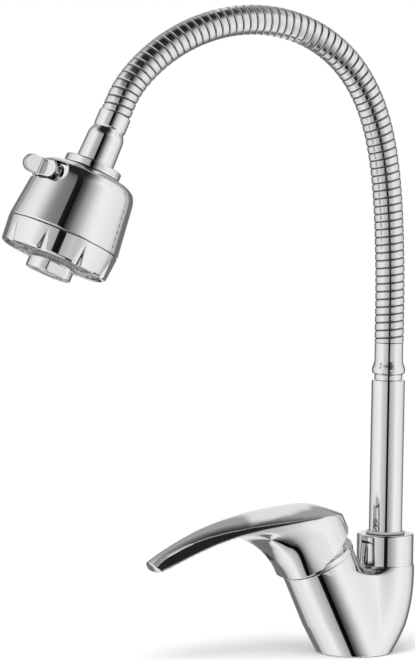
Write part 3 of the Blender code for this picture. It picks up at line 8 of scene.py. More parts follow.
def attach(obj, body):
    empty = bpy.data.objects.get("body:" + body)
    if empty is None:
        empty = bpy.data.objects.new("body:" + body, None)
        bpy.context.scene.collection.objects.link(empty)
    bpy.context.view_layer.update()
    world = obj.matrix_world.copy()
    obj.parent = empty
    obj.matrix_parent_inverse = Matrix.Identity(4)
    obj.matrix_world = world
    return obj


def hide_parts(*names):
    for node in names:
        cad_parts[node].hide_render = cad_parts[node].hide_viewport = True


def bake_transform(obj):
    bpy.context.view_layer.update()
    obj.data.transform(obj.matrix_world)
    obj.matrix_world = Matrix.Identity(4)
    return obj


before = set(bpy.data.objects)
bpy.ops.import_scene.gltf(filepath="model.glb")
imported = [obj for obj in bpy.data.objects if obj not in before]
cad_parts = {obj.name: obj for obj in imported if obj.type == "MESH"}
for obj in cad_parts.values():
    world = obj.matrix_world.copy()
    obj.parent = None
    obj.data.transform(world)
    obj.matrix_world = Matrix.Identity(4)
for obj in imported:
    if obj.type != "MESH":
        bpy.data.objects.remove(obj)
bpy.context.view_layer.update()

bl_info = {
    "name": "Flexible kitchen faucet",
    "version": (1, 0, 0),
    "blender": (4, 5, 0),
    "location": "3D View > Sidebar > Faucet",
    "description": "Builds the finished surfaces of a kitchen faucet with a ribbed gooseneck",
    "category": "Add Mesh",
}

MM = 0.001

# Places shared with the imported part, in millimetres
SEAT = (0.0, -27.4, 60.9)
SEAT_LEAN = 26.0
PIVOT = 4.0
LINK = 25.65
LINKS = 15
HOSE_FOOT = (22.0, 204.0)
HOSE_LEANS = (0, 0, 2, 3.5, 6.5, 12, 22, 37, 55, 72, 87, 101, 114, 127, 141, 156, 156)
HOSE_STATIONS = (0.0, 19.2, *[LINK * k for k in range(2, LINKS)], LINK * LINKS - 10.25, LINK * LINKS)
HOSE_STEP = 0.05

# Points of a rounded corner, the radius that still counts as on the axis, and how far a table is
# carried on past its ends
CORNER_POINTS = 6
ON_AXIS = 0.02
TABLE_MARGIN = 15.0


class FaucetSizes(bpy.types.PropertyGroup):
    """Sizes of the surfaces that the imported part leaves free."""

    band_pitch: bpy.props.FloatProperty(
        name="Band pitch", description="Distance between two bands of the hose", default=5.13 * MM,
        unit="LENGTH", subtype="DISTANCE",
    )
    band_radius: bpy.props.FloatProperty(
        name="Band radius", description="Outer radius of the hose", default=9.6 * MM,
        unit="LENGTH", subtype="DISTANCE",
    )
    groove_depth: bpy.props.FloatProperty(
        name="Groove depth", description="Depth of the groove between two bands", default=0.55 * MM,
        unit="LENGTH", subtype="DISTANCE",
    )
    groove_width: bpy.props.FloatProperty(
        name="Groove width", description="Width of the groove between two bands", default=0.85 * MM,
        unit="LENGTH", subtype="DISTANCE",
    )
    fillet: bpy.props.FloatProperty(
        name="Handle fillet", description="Reach of the hollow between blade and skirt", default=9.0 * MM,
        unit="LENGTH", subtype="DISTANCE",
    )
    valley: bpy.props.FloatProperty(
        name="Body valley", description="Reach of the hollow between housing and hub", default=7.0 * MM,
        unit="LENGTH", subtype="DISTANCE",
    )
    ring_steps: bpy.props.IntProperty(
        name="Round steps", description="Points round a turned piece", default=128, min=24, max=256,
    )


class FaucetColours(bpy.types.PropertyGroup):
    """Colours of the finishes."""

    chrome: bpy.props.FloatVectorProperty(
        name="Chrome", description="Colour of the plated parts", default=(0.84, 0.85, 0.86), size=3,
        subtype="COLOR", min=0.0, max=1.0,
    )
    steel: bpy.props.FloatVectorProperty(
        name="Hose steel", description="Colour of the hose's bands", default=(0.78, 0.78, 0.79), size=3,
        subtype="COLOR", min=0.0, max=1.0,
    )
    spray_face: bpy.props.FloatVectorProperty(
        name="Spray face", description="Colour of the grainy spray face", default=(0.60, 0.60, 0.61), size=3,
        subtype="COLOR", min=0.0, max=1.0,
    )
    floor: bpy.props.FloatVectorProperty(
        name="Floor", description="Colour of the pale floor", default=(0.97, 0.97, 0.97), size=3,
        subtype="COLOR", min=0.0, max=1.0,
    )


def sizes():
    """The scene's sizes for this faucet."""
    return bpy.context.scene.faucet_sizes


def colours():
    """The scene's colours for this faucet."""
    return bpy.context.scene.faucet_colours


# Frames that the pieces are made in


def tilted(origin, lean):
    """A frame at a place in millimetres, tipped about X: (turn, origin)."""
    angle = math.radians(lean)
    c, s = math.cos(angle), math.sin(angle)
    return np.array([(1, 0, 0), (0, c, -s), (0, s, c)]), np.array(origin, float)


def placed(points, place):
    """Points of a frame in world millimetres: turned by the frame, then moved to its origin."""
    turn, origin = place
    return points @ turn.T + origin


def hose_line(distance):
    """Place and lean of the hose's centre line: its lean runs straight between the stations, and
    the place is the running sum of sine and cosine of the lean."""
    fine = np.arange(0.0, LINK * LINKS + HOSE_STEP, HOSE_STEP)
    lean = np.radians(np.interp(fine, HOSE_STATIONS, HOSE_LEANS))
    middle = (lean[1:] + lean[:-1]) / 2
    step = np.diff(fine)
    y = HOSE_FOOT[0] - np.concatenate([[0.0], np.cumsum(np.sin(middle) * step)])
    z = HOSE_FOOT[1] + np.concatenate([[0.0], np.cumsum(np.cos(middle) * step)])
    return np.interp(distance, fine, y), np.interp(distance, fine, z), np.interp(distance, fine, lean)


WORLD = tilted((0.0, 0.0, 0.0), 0.0)
CARTRIDGE = tilted(SEAT, SEAT_LEAN)
RISER = tilted((0.0, HOSE_FOOT[0], 0.0), 0.0)
_end = hose_line(LINK * LINKS)
HEAD = tilted((0.0, float(_end[0]), float(_end[1])), math.degrees(float(_end[2])) - 180.0)


# Making meshes


def make_piece(name, points, faces, normals, place, word, body, slot, nodes=()):
    """A piece from whole arrays of points in a frame's millimetres, its faces and point normals."""
    mesh = bpy.data.meshes.new(name)
    mesh.from_pydata(placed(points, place) * MM, [], faces if isinstance(faces, list) else faces.tolist())
    mesh.validate()
    mesh.shade_smooth()
    if normals is not None:
        mesh.normals_split_custom_set_from_vertices((normals @ place[0].T).tolist())
    mesh.materials.append(named_finish(word))
    piece = bpy.data.objects.new(name, mesh)
    bpy.context.scene.collection.objects.link(piece)
    if body:
        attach(piece, body)
    if nodes:
        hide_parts(*nodes)
    return piece


def grid_faces(rows, columns, closed_rows=True):
    """Four-sided faces between neighbours of a grid of points that closes round its columns."""
    row = np.arange(rows if closed_rows else rows - 1)
    i, j = np.meshgrid(row, np.arange(columns), indexing="ij")
    up, on = (i + 1) % rows, (j + 1) % columns
    here, above = i * columns, up * columns
    return np.stack([here + j, here + on, above + on, above + j], -1).reshape(-1, 4)


def rounded(corners, radius):
    """Points and directions of an outline whose corners are drawn as quadratic curves: each runs
    between two points that lie a radius away from the corner along its sides."""
    corner = np.asarray(corners, float)
    back = np.roll(corner, 1, 0) - corner
    ahead = np.roll(corner, -1, 0) - corner
    long_back = np.linalg.norm(back, axis=1, keepdims=True)
    long_ahead = np.linalg.norm(ahead, axis=1, keepdims=True)
    reach = np.broadcast_to(np.asarray(radius, float), (len(corner),))[:, None]
    reach = np.minimum(reach, 0.48 * np.minimum(long_back, long_ahead))
    first = (corner + back / long_back * reach)[:, None]
    last = (corner + ahead / long_ahead * reach)[:, None]
    middle = corner[:, None]
    t = np.linspace(0.0, 1.0, CORNER_POINTS)[None, :, None]
    points = (1 - t) ** 2 * first + 2 * t * (1 - t) * middle + t**2 * last
    way = (1 - t) * (middle - first) + t * (last - middle)
    return points.reshape(-1, 2), way.reshape(-1, 2)


def turned(name, outline, place, word, body, slot, nodes, radius, solid=False, steps=None):
    """A turned piece: its closed outline (radius, height), with rounded corners, carried round the
    frame's axis. A solid one starts and ends on the axis, where a small face closes it."""
    outline = np.asarray(outline, float)
    if solid:
        outline = np.maximum(outline, (ON_AXIS / 2, -np.inf))
    following = np.roll(outline, -1, 0)
    area = np.sum(outline[:, 0] * following[:, 1] - following[:, 0] * outline[:, 1])
    reach = np.broadcast_to(np.asarray(radius, float), (len(outline),)).copy()
    if area < 0:
        outline, reach = outline[::-1], reach[::-1]
    if solid:
        on_axis = outline[:, 0] < ON_AXIS
        reach[on_axis] = 0.0
        start = np.flatnonzero(on_axis & ~np.roll(on_axis, -1))[0]
        outline, reach = np.roll(outline, -start, 0), np.roll(reach, -start)
    points, way = rounded(outline, np.maximum(reach, 1e-4))
    count = steps or sizes().ring_steps
    angle = np.arange(count) * math.tau / count
    round_x, round_y = np.cos(angle), np.sin(angle)
    r, h = points[:, 0, None], points[:, 1, None]
    shell = np.stack([r * round_x, r * round_y, h + 0 * round_x], -1).reshape(-1, 3)
    way = way / np.maximum(np.linalg.norm(way, axis=1, keepdims=True), 1e-12)
    if solid:
        way[:CORNER_POINTS] = (1.0, 0.0)
        way[-CORNER_POINTS:] = (-1.0, 0.0)
    out_r, out_h = way[:, 1, None], -way[:, 0, None]
    normals = np.stack([out_r * round_x, out_r * round_y, out_h + 0 * round_x], -1).reshape(-1, 3)
    faces = grid_faces(len(points), count, closed_rows=not solid).tolist()
    if solid:
        last = (len(points) - 1) * count
        faces.append(list(range(count))[::-1])
        faces.append([last + i for i in range(count)])
    return make_piece(name, shell, faces, normals, place, word, body, slot, nodes)


def net(field, low, high, cell):
    """The closed surface where a field is zero. Every cell of a grid that the surface crosses gets
    the mean of the crossings on its edges, four cells round a crossed edge make a face, and the
    points then slide down the field's slope on to the surface, which also gives the normals."""
    low = np.array(low, float)
    axes = [np.arange(a, b + cell, cell) for a, b in zip(low, high)]
    values = np.asarray(field(*np.meshgrid(*axes, indexing="ij", sparse=True)), np.float32)
    inside = values < 0
    n = np.array(inside.shape) - 1
    count = np.zeros(n, np.int8)
    for i, j, k in np.ndindex(2, 2, 2):
        count += inside[i : i + n[0], j : j + n[1], k : k + n[2]]
    active = (count > 0) & (count < 8)
    cells = np.argwhere(active)
    number = np.full(tuple(n), -1)
    number[active] = np.arange(len(cells))
    total = np.zeros((len(cells), 3))
    hits = np.zeros(len(cells))
    faces = []
    for a in range(3):
        b, c = (a + 1) % 3, (a + 2) % 3
        for near, far in np.ndindex(2, 2):
            start = cells.copy()
            start[:, b] += near
            start[:, c] += far
            end = start.copy()
            end[:, a] += 1
            first, last = values[tuple(start.T)], values[tuple(end.T)]
            crossed = (first < 0) != (last < 0)
            share = np.where(crossed, first / np.where(crossed, first - last, 1.0), 0.0)
            spot = start.astype(float)
            spot[:, a] += share
            total += spot * crossed[:, None]
            hits += crossed
        lower = np.take(inside, np.arange(n[a]), axis=a)
        upper = np.take(inside, np.arange(1, n[a] + 1), axis=a)
        edges = np.argwhere(lower != upper)
        on_b, on_c = edges[:, b], edges[:, c]
        edges = edges[(on_b > 0) & (on_c > 0) & (on_b < n[b]) & (on_c < n[c])]
        ring = []
        for step_b, step_c in ((0, 0), (1, 0), (1, 1), (0, 1)):
            spot = edges.copy()
            spot[:, b] -= step_b
            spot[:, c] -= step_c
            ring.append(number[tuple(spot.T)])
        ring = np.stack(ring, 1)
        flip = upper[tuple(edges.T)]
        ring[flip] = ring[flip][:, ::-1]
        faces.append(ring)
    points = low + cell * total / hits[:, None]

    def slope(at, step):
        moves = step * np.eye(3)
        return np.stack([field(*(at + move).T) - field(*(at - move).T) for move in moves], -1) / (2 * step)

    for _ in range(4):
        grade = slope(points, 0.05)
        away = field(*points.T)[:, None] * grade / np.maximum((grade**2).sum(1, keepdims=True), 0.05)
        size = np.linalg.norm(away, axis=1, keepdims=True)
        points = points - away * np.minimum(1.0, 0.5 * cell / np.maximum(size, 1e-9))
    grade = slope(points, 0.12)
    return points, np.concatenate(faces), grade / np.linalg.norm(grade, axis=1, keepdims=True)


def carved(name, field, low, high, cell, place, word, body, slot, nodes):
    """A piece whose surface is where a field of its frame is zero."""
    return make_piece(name, *net(field, low, high, cell), place, word, body, slot, nodes)


def smooth_min(a, b, reach):
    """The smaller of two fields, drawn over softly where they are within reach of each other."""
    share = np.clip(0.5 + 0.5 * (b - a) / reach, 0.0, 1.0)
    return b + (a - b) * share - reach * share * (1.0 - share)


def smooth_max(a, b, reach):
    """The larger of two fields, with a soft edge."""
    return -smooth_min(-a, -b, reach)


def outline_field(r, h, outline):
    """Distance from a closed outline in the plane (radius, height), negative inside: the nearest
    distance to its sides, and the sign from how often a level line crosses it."""
    corner = np.asarray(outline, float)
    r, h = np.broadcast_arrays(r, h)
    nearest = np.full(r.shape, np.inf)
    inside = np.zeros(r.shape, bool)
    for (ar, ah), (br, bh) in zip(corner, np.roll(corner, -1, 0)):
        run_r, run_h = br - ar, bh - ah
        share = np.clip(((r - ar) * run_r + (h - ah) * run_h) / (run_r**2 + run_h**2), 0.0, 1.0)
        nearest = np.minimum(nearest, np.hypot(r - ar - share * run_r, h - ah - share * run_h))
        if bh != ah:
            crosses = ((ah > h) != (bh > h)) & (r < run_r * (h - ah) / run_h + ar)
            inside ^= crosses
    return np.where(inside, -nearest, nearest)


def smoothed(values, step, width):
    """Values at even steps, each made the bell-weighted mean of its stretch."""
    bell = np.exp(-0.5 * (np.arange(-4 * width, 4 * width + step, step) / width) ** 2)
    padded = np.pad(values, len(bell) // 2, mode="reflect", reflect_type="odd")
    return np.convolve(padded, bell / bell.sum(), mode="valid")[: len(values)]


def smooth_table(rows, column, step=0.5, width=3.0):
    """Even steps of a table's first column and its smoothed values there. The table is carried on
    straight past both ends."""
    rows = np.asarray(rows, float)
    at = np.arange(rows[0, 0] - TABLE_MARGIN, rows[-1, 0] + TABLE_MARGIN, step)
    slope = np.diff(rows[:, column]) / np.diff(rows[:, 0])
    values = np.interp(at, rows[:, 0], rows[:, column])
    values += np.minimum(at - rows[0, 0], 0.0) * slope[0] + np.maximum(at - rows[-1, 0], 0.0) * slope[-1]
    return at, smoothed(values, step, width)


def softened(corners, width, step=0.2):
    """Points at even steps along a line of corners, smoothed."""
    corner = np.asarray(corners, float)
    way = np.concatenate([[0.0], np.cumsum(np.linalg.norm(np.diff(corner, axis=0), axis=1))])
    at = np.arange(0.0, way[-1], step)
    return np.stack([smoothed(np.interp(at, way, column), step, width) for column in corner.T], -1)


# Finishes

NO_BUMP = (0.0, 0.0)


def feed(node, values):
    """Give a node's inputs: a socket is linked, and anything else becomes the input's own value."""
    for name, value in values.items():
        if isinstance(value, bpy.types.NodeSocket):
            node.id_data.links.new(value, node.inputs[name])
        else:
            node.inputs[name].default_value = value


def add_node(tree, kind, values, **settings):
    """A shader node of a kind with its settings and its inputs."""
    node = tree.nodes.new(f"ShaderNode{kind}")
    for name, value in settings.items():
        setattr(node, name, value)
    feed(node, values)
    return node


def maths(tree, kind, *values):
    """A Math node over numbers and sockets."""
    return add_node(tree, "Math", dict(enumerate(values)), operation=kind).outputs["Value"]


def ranged(tree, value, first, last, low=0.0, high=1.0, kind="LINEAR"):
    """A value carried from one range, low to high, into another, first to last."""
    values = {"Value": value, "From Min": low, "From Max": high, "To Min": first, "To Max": last}
    return add_node(tree, "MapRange", values, interpolation_type=kind).outputs["Result"]


def blended(tree, share, *parts):
    """A colour between two, each a colour or a socket, chosen by a share from 0 to 1."""
    first, second = ((*part, 1.0) if isinstance(part, tuple) else part for part in parts)
    values = {"Factor": share, "A": first, "B": second}
    return add_node(tree, "Mix", values, data_type="RGBA").outputs["Result"]


def surface_group():
    """A group that gives the fine unevenness of a real surface: a broad mask, a fine mask and a
    height, all from noise on the coordinates that it is given."""
    group = bpy.data.node_groups.get("Surface unevenness")
    if group:
        return group
    group = bpy.data.node_groups.new("Surface unevenness", "ShaderNodeTree")
    face = group.interface
    face.new_socket("Place", in_out="INPUT", socket_type="NodeSocketVector")
    for socket in ("Broad scale", "Fine scale"):
        face.new_socket(socket, in_out="INPUT", socket_type="NodeSocketFloat")
    for socket in ("Broad", "Fine", "Height"):
        face.new_socket(socket, in_out="OUTPUT", socket_type="NodeSocketFloat")
    given = group.nodes.new("NodeGroupInput").outputs
    result = group.nodes.new("NodeGroupOutput")
    noise = {}
    for name, detail in (("Broad", 3.0), ("Fine", 5.0)):
        values = {"Vector": given["Place"], "Scale": given[f"{name} scale"], "Detail": detail}
        noise[name] = add_node(group, "TexNoise", values).outputs["Fac"]
        feed(result, {name: ranged(group, noise[name], 0.0, 1.0, 0.3, 0.7)})
    feed(result, {"Height": maths(group, "MULTIPLY_ADD", noise["Fine"], 0.35, noise["Broad"])})
    return group


def new_material(name, broad, fine):
    """A material with its Principled shader and the outputs of the unevenness group, which reads
    the Object coordinates at two scales."""
    made = bpy.data.materials.new(name)
    made.use_nodes = True
    tree = made.node_tree
    place = add_node(tree, "TexCoord", {}).outputs["Object"]
    values = {"Place": place, "Broad scale": broad, "Fine scale": fine}
    uneven = add_node(tree, "Group", values, node_tree=surface_group()).outputs
    return made, tree, tree.nodes["Principled BSDF"], uneven


def finish_of(name, colour, shade, rough, bump=NO_BUMP, metallic=0.0, broad=40.0, fine=900.0, coat=0.0):
    """A finish with slow changes of colour and roughness and a fine grain in its relief."""
    if name in bpy.data.materials:
        return bpy.data.materials[name]
    made, tree, shader, uneven = new_material(name, broad, fine)
    darker = tuple(part * shade for part in colour)
    feed(shader, {
        "Metallic": metallic,
        "Coat Weight": coat,
        "Base Color": blended(tree, uneven["Broad"], colour, darker),
        "Roughness": ranged(tree, uneven["Fine"], *rough),
    })
    if bump[0]:
        values = {"Strength": bump[0], "Distance": bump[1], "Height": uneven["Height"]}
        feed(shader, {"Normal": add_node(tree, "Bump", values).outputs["Normal"]})
    return made


def steel_finish():
    """Polished bands of the hose: duller down in their groove, where painted shade also darkens their colour.
    """
    if "Hose steel" in bpy.data.materials:
        return bpy.data.materials["Hose steel"]
    made, tree, shader, uneven = new_material("Hose steel", 60.0, 700.0)
    depth = add_node(tree, "Attribute", {}, attribute_name="groove").outputs["Fac"]
    bright = tuple(colours().steel)
    # Painted shade: the bands' colour falls to this darker copy of the steel down in the groove, by how deep
    # a point lies
    deep = tuple(part * 0.22 for part in bright)
    feed(shader, {
        "Metallic": 1.0,
        "Base Color": blended(tree, depth, bright, deep),
        "Roughness": maths(tree, "MULTIPLY_ADD", depth, 0.25, ranged(tree, uneven["Fine"], 0.07, 0.13)),
    })
    return made


# Name, colour or the setting that holds it, darkest share of it, roughness from and to, strength and
# distance of the bump, metallic, broad and fine scale, and coat
FINISHES = {
    "chrome": ("Chrome plating", "chrome", 0.98, (0.012, 0.035), NO_BUMP, 1.0, 30.0, 260.0),
    "grain": ("Spray face", "spray_face", 0.6, (0.35, 0.55), (0.35, 0.0001), 0.0, 900.0, 2400.0),
    "floor": ("Pale floor", "floor", 0.985, (0.6, 0.8), NO_BUMP, 0.0, 6.0, 120.0),
    "brass": ("Brass", (0.74, 0.58, 0.32), 0.8, (0.22, 0.38), NO_BUMP, 1.0, 60.0),
    "steel": ("Spring steel", (0.55, 0.55, 0.56), 0.85, (0.2, 0.34), NO_BUMP, 1.0, 60.0),
    "rubber": ("Seal rubber", (0.028, 0.028, 0.03), 0.7, (0.5, 0.75), (0.3, 0.0002)),
    "wiper": ("Wiper ring", (0.52, 0.52, 0.53), 0.9, (0.25, 0.4), (0.15, 0.0001)),
    "ceramic": ("Ceramic", (0.86, 0.84, 0.79), 0.96, (0.12, 0.24)),
    "white": ("White plastic", (0.82, 0.82, 0.80), 0.95, (0.3, 0.45), (0.15, 0.0001)),
    "grey": ("Grey plastic", (0.40, 0.41, 0.42), 0.9, (0.35, 0.55), (0.2, 0.0002)),
    "dark": ("Dark plastic", (0.05, 0.05, 0.055), 0.8, (0.25, 0.4), (0.15, 0.0001)),
    "plug": ("Glossy plug", (0.012, 0.014, 0.02), 0.7, (0.06, 0.14), NO_BUMP, 0.0, 40.0, 900.0, 0.5),
}


def named_finish(word):
    """The hose's steel, or a finish of the table, by its short name."""
    if word == "hose":
        return steel_finish()
    name, colour, *rest = FINISHES[word]
    return finish_of(name, tuple(getattr(colours(), colour)) if isinstance(colour, str) else colour, *rest)


# Body

FOOT_RADIUS = 25.0
HOUSING_DRIFT_SHARE, HOUSING_DEPTH_SHARE, HOUSING_WIDTH_SHARE = -0.4565, 0.0355, -0.0041
HOUSING_SLOPE_SHARE = 0.92
HUB_TOP = 57.0
HUB_DRAW = 6.3
HUB_POWER_SHARE = 2.3
HUB_SLOPE_SHARE = 0.14
SPIGOT_RADIUS, SPIGOT_FOOT, SPIGOT_TOP = 15.5, 40.0, 68.0
CROTCH = 53.5
WEB_INSET = 2.2
WEB_EDGE = 3.0
VALLEY_FOOT, VALLEY_RISE = 0.8, 18.0
FOOT_EDGE = 0.8
DOME_RADIUS, DOME_WALL = 21.7, 1.5
BAND = ((24.9, 4.25), (25.25, 3.9), (25.25, 0.3), (20.2, 0.3))


def capsule_field(x, y, first, first_radius, second, second_radius):
    """Distance from the outline that wraps two circles on the Y axis, given by centre and radius."""
    length = np.maximum(second - first, 1e-3)
    lean = np.clip((first_radius - second_radius) / length, -1.0, 1.0)
    level = np.sqrt(1.0 - lean**2)
    wide, along = np.abs(x), y - first
    side = along * level - wide * lean
    flank = wide * level + along * lean - first_radius
    near = np.hypot(wide, along) - first_radius
    far = np.hypot(wide, along - length) - second_radius
    return np.where(side < 0, near, np.where(side > length * level, far, flank))


def body_field(x, y, z):
    """Slanted housing and upright hub with a web between them. Housing and hub are level circles
    whose centre and size change with height; the web wraps both circles, drawn in a little more
    the higher it is, ends at the crotch and is blended softly with both."""
    lean = HOUSING_DRIFT_SHARE * z
    depth = FOOT_RADIUS + HOUSING_DEPTH_SHARE * z
    width = FOOT_RADIUS + HOUSING_WIDTH_SHARE * z
    housing = (np.hypot(x / width, (y - lean) / depth) - 1.0) * FOOT_RADIUS * HOUSING_SLOPE_SHARE
    share = 1.0 - np.maximum(1.0 - z / HUB_TOP, 0.0) ** HUB_POWER_SHARE
    centre = HOSE_FOOT[0] * share
    hub_radius = FOOT_RADIUS - HUB_DRAW * share
    hub = (np.hypot(x, y - centre) - hub_radius) * (1.0 - HUB_SLOPE_SHARE * (1.0 - share))
    seat = CARTRIDGE[0][1, 2] * (y - SEAT[1]) + CARTRIDGE[0][2, 2] * (z - SEAT[2])
    inset = WEB_INSET * np.clip(z / CROTCH, 0.0, 1.0) ** 1.5
    web = capsule_field(x, y, lean, width - inset, centre, hub_radius - inset)
    web = smooth_max(web, z - CROTCH, WEB_EDGE)
    reach = VALLEY_FOOT + (sizes().valley / MM - VALLEY_FOOT) * np.clip(z / VALLEY_RISE, 0.0, 1.0)
    hub = smooth_max(hub, z - HUB_TOP, 0.5)
    both = smooth_max(smooth_min(smooth_min(housing, hub, 1.5), web, reach), seat, 0.5)
    spigot = np.maximum(np.hypot(x, y - HOSE_FOOT[0]) - SPIGOT_RADIUS, z - SPIGOT_TOP)
    both = np.minimum(both, np.maximum(spigot, SPIGOT_FOOT - z))
    return smooth_max(both, -z, FOOT_EDGE)


class FAUCET_OT_body(bpy.types.Operator):
    """Cast body: a slanted housing for the mixer and a hub for the riser on one round foot"""

    bl_idname = "mesh.faucet_body"
    bl_label = "Body"

    def execute(self, context):
        carved(
            "body_shell", body_field, (-27.5, -56.0, -1.4), (27.5, 44.0, 70.0), 0.7, WORLD, "chrome",
            "tap_body", "chrome_plate", ("body_casting",),
        )
        arc = np.radians(np.linspace(30.5, 1.0, 8))
        dome = np.stack([np.cos(arc), np.sin(arc)], -1)
        outer = DOME_RADIUS * dome + (0.0, PIVOT)
        inner = (DOME_RADIUS - DOME_WALL) * dome[::-1] + (0.0, PIVOT)
        turned(
            "trim_band", [*outer, *BAND, *inner], CARTRIDGE, "chrome", "tap_body", "chrome_plate",
            ("dome_cap",), 0.35,
        )
        return {"FINISHED"}


# Handle

# Places along the blade, then the heights of its crest, its belly and its edge
BLADE = (
    (-108.5, 56.6, 50.6, 52.4),
    (-104.0, 57.9, 50.0, 50.8),
    (-95.0, 58.9, 50.2, 50.6),
    (-80.0, 59.4, 50.5, 50.7),
    (-65.0, 58.9, 49.7, 50.2),
    (-50.0, 57.0, 47.6, 48.4),
    (-35.0, 53.9, 44.1, 45.0),
    (-20.0, 49.6, 38.9, 40.6),
    (-5.0, 44.4, 31.6, 36.0),
    (7.0, 39.6, 25.6, 31.6),
    (15.0, 35.6, 21.0, 28.4),
    (25.0, 28.6, 16.0, 23.0),
)
# Heights up the skirt, then how far it lies forward, its half depth and its half width
SKIRT = (
    (5.0, 0.6, 25.2, 25.0),
    (12.0, 1.8, 26.6, 25.6),
    (20.0, 3.6, 27.0, 25.8),
    (26.0, 6.8, 26.2, 25.2),
    (32.0, 12.3, 24.2, 24.0),
    (38.0, 19.0, 22.0, 22.3),
    (44.0, 26.0, 19.6, 20.3),
    (49.0, 33.0, 16.8, 17.6),
)
HALF_WIDTHS = ((-106.0, 10.9), (-95.0, 11.7), (-80.0, 13.6), (-65.0, 16.1), (-50.0, 18.9), (-35.0, 21.4),
               (-20.0, 23.5), (-8.0, 24.6), (0.0, 24.7), (8.0, 24.6), (20.0, 24.0))
CROWN_BACK, CROWN_REACH = 5.0, 22.4
CROWN_POWER_SHARE, CROWN_ROUND_SHARE = 1.8, 0.85
EDGE_THICKNESS = 0.9
BLADE_SLOPE_SHARE, ROUND_SCALE = 0.9, 24.0
TIP_START, TIP_WIDTH, TIP_REACH = -100.5, 11.2, 6.2
BACK_WIDTH, BACK_REACH = 24.8, 27.3
SKIRT_DOME, SKIRT_DOME_FOOT = (24.6, 26.9, 31.0), 5.0
CAVITY_RADIUS = 22.3
CHAMBER_RADIUS, CHAMBER_TOP = 15.0, 32.0
BOSS_RADIUS, BOSS_BOTTOM = 8.5, 16.0
LIFT_ANGLE, LIFT_GAP = 18.0, 0.7
SCREW_HEIGHT = 21.0
RECESS_RADIUS, RECESS_FLOOR, PLUG_FACE = 4.8, -26.6, -30.3
PLUG = ((0, 0.35), (2.4, 0.28), (4.5, -0.1), (4.5, -4.0), (0, -4.0))


def handle_field(x, y, z):
    """Lever blade over skirt and dome, drawn over softly where they meet, with the hollow over the
    dome cut out. The blade lies between a crowned top and a flatter underside that share one edge;
    the crown falls to that edge at both sides and at the back. BLADE gives crest, belly and edge."""
    crest, belly, edge = (np.interp(y, *smooth_table(BLADE, column)) for column in (1, 2, 3))
    half = np.interp(y, *smooth_table(HALF_WIDTHS, 1))
    across = np.clip(np.hypot(x / half, np.maximum(y - CROWN_BACK, 0.0) / CROWN_REACH), 0.0, 1.3)
    beyond = np.maximum(across - 1.0, 0.0) * 2.0
    crown = np.maximum(1.0 - across**CROWN_POWER_SHARE, 0.0) ** CROWN_ROUND_SHARE - beyond
    sag = np.maximum(1.0 - across**2.0, 0.0) - beyond
    upper = (z - edge - (crest - edge) * crown) * BLADE_SLOPE_SHARE
    edge = edge - EDGE_THICKNESS
    lower = (edge - (edge - belly) * sag - z) * BLADE_SLOPE_SHARE
    tip = np.abs(x / TIP_WIDTH) ** 3 + np.abs(np.minimum(y - TIP_START, 0.0) / TIP_REACH) ** 3
    tip = (tip ** (1 / 3) - 1.0) * TIP_REACH
    back = (np.hypot(x / BACK_WIDTH, np.maximum(y, 0.0) / BACK_REACH) - 1.0) * ROUND_SCALE
    plan = np.maximum(np.where(y < TIP_START, tip, np.abs(x) - half), np.where(y > 0, back, -50.0))
    shift, deep, broad = (np.interp(z, *smooth_table(SKIRT, column, 0.5, 2.0)) for column in (1, 2, 3))
    skirt = (np.hypot(x / broad, (y + shift) / deep) - 1.0) * np.minimum(broad, deep)
    wide, long, high = SKIRT_DOME
    dome = np.abs(x / wide) ** 3 + np.abs(y / long) ** 3 + np.abs((z - SKIRT_DOME_FOOT) / high) ** 3
    skirt = smooth_min(skirt, (dome ** (1 / 3) - 1.0) * ROUND_SCALE, 3.0)
    whole = smooth_min(lower, skirt, sizes().fillet / MM)
    whole = smooth_max(smooth_max(whole, upper, 0.5), plan, 0.8)
    from_pivot = np.sqrt(x * x + y * y + (z - PIVOT) ** 2) - CAVITY_RADIUS
    axle = np.hypot(x, y)
    chamber = np.maximum(axle - CHAMBER_RADIUS, z - CHAMBER_TOP)
    hollow = np.minimum(np.where(z < PIVOT, axle - CAVITY_RADIUS, from_pivot), chamber)
    hollow = np.maximum(hollow, -np.maximum(axle - BOSS_RADIUS, BOSS_BOTTOM - z))
    whole = smooth_max(whole, -hollow, 0.4)
    lift = math.radians(LIFT_ANGLE)
    relief = (z - PIVOT) * math.cos(lift) - y * math.sin(lift) - LIFT_GAP
    whole = smooth_max(whole, -relief, 0.6)
    recess = np.maximum(np.hypot(x, z - SCREW_HEIGHT) - RECESS_RADIUS, y - RECESS_FLOOR)
    return smooth_max(whole, -recess, 0.4)


class FAUCET_OT_handle(bpy.types.Operator):
    """Lever: a long crowned blade on a round skirt, with the plug over its screw"""

    bl_idname = "mesh.faucet_handle"
    bl_label = "Handle"

    def execute(self, context):
        carved(
            "lever_shell", handle_field, (-26.5, -111.0, 2.0), (26.5, 29.0, 62.0), 0.62, CARTRIDGE,
            "chrome", "handle", "chrome_plate", ("handle_lever",),
        )
        turn = CARTRIDGE[0] @ np.array([(1, 0, 0), (0, 0, -1), (0, 1, 0)], float)
        spot = placed(np.array([0.0, PLUG_FACE, SCREW_HEIGHT]), CARTRIDGE)
        turned(
            "screw_plug", PLUG, (turn, spot), "plug", "handle", "dark_plastic", ("indicator_plug",), 0.5,
            solid=True, steps=64,
        )
        return {"FINISHED"}


# Riser

